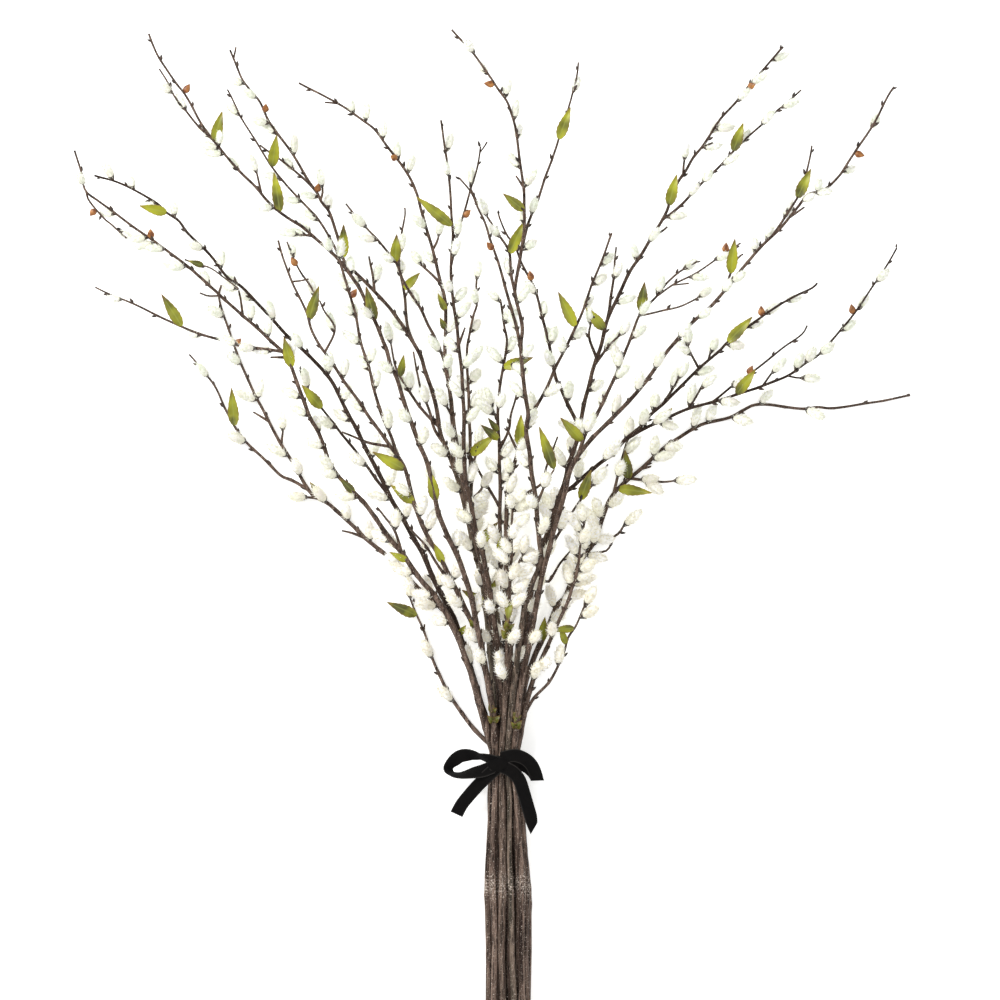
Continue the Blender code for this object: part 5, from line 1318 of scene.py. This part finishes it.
bud_models = [drawn_out(6, 5, BUD_LENGTH, bud_half_width), cap_model()]
bud_models[0].data.shade_smooth()
dark_skin = bud_skin("dark willow bud", "#231912", "#4a392d")
bud_draw = random.Random(BUD_SEED)
for stem_name, branches in wood.items():
    stands = []
    for root, tip, half_width in catkins[stem_name]:
        stands.append((1, stood(root, tip - root, half_width / CATKIN_HALF_WIDTH, 1)))
    for number, (branch, where) in enumerate(wood_nodes[stem_name]):
        spot = branch.drawn_at(where)
        hand = 1 if number % 2 else -1
        turn, size = bud_draw.uniform(*BUD_TURNS) * hand, bud_draw.uniform(*BUD_SIZES)
        if spot[1] < BUDS_FROM_Y:
            continue
        ahead = Vector(branch.direction(where))
        side = Matrix.Rotation(turn, 3, ahead) @ (ahead.cross(Vector((0, 0, 1))).normalized() * hand)
        radius = float(np.interp(where, branch.drawn_where, branch.thick))
        root = Vector(spot) + side * (radius * BUD_ROOT)
        way = (ahead + side * BUD_LEAN).normalized()
        if (root + way * BUD_LENGTH * size).z < BUD_LOWEST:
            continue
        stands.append((0, stood(root, way, size, size)))
    piece = copies(stem_name + "_buds", bud_models, stands, dark_skin)
    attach(piece, "root")
    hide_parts(stem_name)

# The bud scales: russet scales that have opened and dried near the tips, thin as paper and glossy,
# each grown on its twig beside a bud.
SCALE_SWELL = 1.25
SCALE_FLAT = 0.4


def scale_half_width(share):
    """An opened scale is broad low down and drawn out to a point."""
    return BUD_HALF_WIDTH * max(math.sin(math.pi * share ** 0.75), 0.0) ** 0.9 * (1.1 - 0.3 * share)


scale_models = [drawn_out(8, 7, BUD_LENGTH, scale_half_width, SCALE_FLAT)]
scale_models[0].data.shade_smooth()
russet_skin = bud_skin("russet bud scale", "#6f3c1c", "#b4793c")
for stem_name, grown in scales.items():
    if not grown:
        continue
    stands = []
    for root, tip, half_width in grown:
        long, wide = float(np.linalg.norm(tip - root)) / BUD_LENGTH, half_width / BUD_HALF_WIDTH
        stands.append((0, stood(root, tip - root, wide * SCALE_SWELL, long)))
    piece = copies(stem_name + "_scales", scale_models, stands, russet_skin)
    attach(piece, "root")
    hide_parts(stem_name)
put_away(bud_models + scale_models)

# The ribbon: black cotton velvet, 16 mm wide, wound once round the stems and tied in a bow with
# two loops and two cut tails. It is one length of ribbon, folded by hand and held by its knot.
RIBBON_WIDTH = 0.016
KNOT_X_PX = 498.0
KNOT_Y_PX = 764.0
KNOT_SIZE = (0.026, 0.018, 0.008)
KNOT_TURN_DEG = 12
KNOT_LIFT = 0.0001
KNOT_CUTS = 9
# How much the knot is rounded off on plan, over its height and on top, and how deep, how close
# and how slanted its folds are
ROUND_PLAN, ROUND_HEIGHT, ROUND_TOP = 0.35, 0.25, 0.30
FOLD_DEPTH, FOLDS_ACROSS, FOLDS_SLANT = 0.10, 7.0, 2.5
# The bow's strips pass these places: across and down the picture in pixels, height in mm, the turn
# of the ribbon's width in degrees, and how far it stands on edge, from -1 to 1
BOW = {
    "left_loop": [(497, 762, 35, 90, 0.3), (489, 758.5, 35.5, 92, 0.7), (480, 756, 35, 96, 0.9),
                  (470, 754.3, 34, 100, 0.62), (460, 756, 32, 112, 0.15), (453, 761.5, 30.5, 135, 0.25),
                  (448.5, 767.5, 29.5, 170, 0.6), (450, 772, 29.5, 205, 0.9), (456, 774.5, 30, 240, 0.85),
                  (463, 774.3, 31, 262, 0.7), (472, 772.5, 32.5, 275, 0.45), (482, 770.5, 34, 282, 0.2),
                  (494, 766, 35, 280, 0.15)],
    "right_loop": [(500, 758, 35, 90, 0.1), (514, 755, 35.5, 86, 0.05), (524, 758, 34.5, 62, 0.05),
                   (531, 764, 31.5, 36, 0.0), (535, 772, 27, 12, 0.0), (537, 779.5, 23, 2, 0.0),
                   (537, 779, 20.5, 2, 0.0), (531, 771, 22, 20, 0.05), (523, 765.5, 27.5, 50, 0.1),
                   (513, 763, 33, 82, 0.1), (502, 764, 34.5, 90, 0.1)],
    "left_tail": [(498, 766, 35, 125, 0.1), (487, 776, 34, 135, 0.1), (478, 785, 30, 136, 0.15),
                  (470, 794, 24.5, 140, 0.2), (462, 804, 17, 144, 0.25), (456.5, 814, 10, 155, 0.25)],
    "right_tail": [(502, 766, 35, 55, 0.1), (512, 771, 34.5, 40, 0.0), (519, 779, 33.5, 22, -0.15),
                   (523, 790, 32, 15, -0.25), (528, 807, 29, 15, -0.25), (534, 828, 26, 60, -0.2)],
}
RIBBON_COLUMNS = 6
WRAP_ROWS = 72
BOW_STEP = 0.002


def laid_grid(rows):
    """A grid of cloth laid on rows, each of which gives its point for a place across the ribbon."""
    count = len(rows)
    bpy.ops.object.select_all(action="DESELECT")
    bpy.ops.mesh.primitive_grid_add(x_subdivisions=count - 1, y_subdivisions=RIBBON_COLUMNS, size=2,
                                    calc_uvs=True)
    cloth = bpy.context.object
    for vert in cloth.data.vertices:
        row = round((vert.co.x + 1) / 2 * (count - 1))
        vert.co = rows[row](vert.co.y)
    return cloth


def bow_strip(route):
    """A loop or a tail of the bow, laid along its route with its width turned as the ribbon's is."""
    px, py, heights, turns, uprights = zip(*route)
    middles = smooth([place(*spot) for spot in zip(px, py, np.array(heights) * 0.001)], BOW_STEP)
    stations = np.linspace(0, len(route) - 1, len(middles))
    rows = []
    for middle, station in zip(middles, stations):
        turn = math.radians(np.interp(station, range(len(route)), turns))
        share = np.interp(station, range(len(route)), uprights)
        flat = math.sqrt(1 - share ** 2)
        across = Vector((math.cos(turn) * flat, math.sin(turn) * flat, share))
        rows.append(lambda side, m=Vector(middle), a=across: m + a * (side * RIBBON_WIDTH / 2))
    strip = laid_grid(rows)
    thickened(strip, RIBBON_THICKNESS * 0.9, 0)
    return strip


def wrap_band():
    """The turn of ribbon round the stems, with a flat underside where it lies on the table."""
    half_wide = 2 * TIE_SPACING + TIE_HALF_WIDTH + RIBBON_GAP
    top = tie_point((4, 0))[2] + TIE_HALF_WIDTH * CORNER + RIBBON_GAP
    low = RIBBON_THICKNESS
    # Half of its outline as seen along the stems, from the middle of the underside to that of the top
    half = [(0.0, low), (half_wide - 0.0036, low), (half_wide - 0.0007, low + 0.001),
            (half_wide, low + 0.0022), (half_wide, top - 0.0085), (half_wide - 0.001, top - 0.0065),
            (half_wide - 0.0037, top - 0.0019), (half_wide - 0.0074, top), (0.0, top)]
    ring = np.array(half + [(-x, z) for x, z in reversed(half[:-1])])
    along = np.concatenate([[0], np.cumsum(np.linalg.norm(np.diff(ring, axis=0), axis=1))])
    wanted = np.linspace(0, along[-1], WRAP_ROWS)
    spots = zip(np.interp(wanted, along, ring[:, 0]), np.interp(wanted, along, ring[:, 1]))
    band = laid_grid([lambda side, x=x, z=z: Vector((x, side * RIBBON_WIDTH / 2, z)) for x, z in spots])
    sealed(THIN_WELD)
    thickened(band, RIBBON_THICKNESS, 1)
    return band


def bow_knot():
    """The knot: the ribbon drawn over itself into a small cushion with a few deep folds."""
    middle = place(KNOT_X_PX, KNOT_Y_PX)
    top = tie_point((4, 0))[2] + TIE_HALF_WIDTH * CORNER + RIBBON_GAP
    middle[2] = top + RIBBON_GAP + KNOT_LIFT + KNOT_SIZE[2] / 2
    bpy.ops.object.select_all(action="DESELECT")
    bpy.ops.mesh.primitive_cube_add(size=1)
    cushion = bpy.context.object
    bpy.ops.object.mode_set(mode="EDIT")
    bpy.ops.mesh.select_all(action="SELECT")
    bpy.ops.mesh.subdivide(number_cuts=KNOT_CUTS)
    bpy.ops.object.mode_set(mode="OBJECT")
    turn = Matrix.Rotation(math.radians(KNOT_TURN_DEG), 3, "Z")
    half = Vector(KNOT_SIZE) / 2
    for vert in cushion.data.vertices:
        x, y, z = vert.co * 2
        round_x = x * math.sqrt(1 - ROUND_PLAN * y * y - ROUND_HEIGHT * z * z)
        round_y = y * math.sqrt(1 - ROUND_PLAN * x * x - ROUND_HEIGHT * z * z)
        round_z = z * math.sqrt(1 - ROUND_TOP * x * x - ROUND_TOP * y * y)
        fold = 1 + FOLD_DEPTH * math.sin(FOLDS_ACROSS * x + FOLDS_SLANT * y) * max(z, 0)
        spot = Vector((round_x * half.x, round_y * half.y, round_z * half.z * fold))
        vert.co = turn @ spot + Vector(middle)
    return cushion


def black_velvet():
    """Black cotton velvet: a short dense pile that swallows light and shows a grey rim where it
    turns away, with a faint mottle where the pile is pressed."""
    velvet, shader = new_material("black cotton velvet")
    where = node(velvet, "TexCoord", {}, "Object")
    on_ribbon = node(velvet, "TexCoord", {}, "UV")
    # The pile's threads stand 0.35 mm apart, drawn twice as coarse so that they show
    pile = node(velvet, "TexNoise", {"Vector": where, "Scale": 1400.0, "Detail": 2.0})
    pressed = node(velvet, "TexNoise", {"Vector": where, "Scale": 140.0, "Detail": 2.0})
    tone = node(velvet, "Mix", {"Factor": pressed, "A": colour("#070606"), "B": colour("#141211")}, 2,
                data_type="RGBA")
    # A painted sheen: a line about 1 mm wide along each long side of the ribbon, a little greyer, for the
    # light rim that the velvet's edges catch
    across = node(velvet, "SeparateXYZ", {"Vector": on_ribbon}, "Y")
    off_middle = node(velvet, "Math", {0: across, 1: 0.5}, operation="SUBTRACT")
    to_edge = node(velvet, "Math", {0: off_middle}, operation="ABSOLUTE")
    edge_sheen = node(velvet, "MapRange", {"Value": to_edge, "From Min": 0.43, "From Max": 0.45,
                                      "To Max": 0.5})
    with_edge_sheen = node(velvet, "Mix", {"Factor": edge_sheen, "A": tone, "B": colour("#3b3835")}, 2, data_type="RGBA")
    bump = node(velvet, "Bump", {"Height": pile, "Strength": 0.5, "Distance": 0.0003})
    fill(velvet, shader, {"Base Color": with_edge_sheen, "Normal": bump, "Roughness": 0.9,
                          "Specular IOR Level": 0.1, "Sheen Weight": 0.12, "Sheen Roughness": 0.35})
    return velvet


ribbon_parts = [bow_strip(route) for route in BOW.values()] + [wrap_band(), bow_knot()]
ribbon = joined(ribbon_parts, "velvet_ribbon", black_velvet())
bpy.ops.object.shade_smooth_by_angle(angle=SMOOTH_ANGLE)
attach(ribbon, "root")
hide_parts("ribbon")
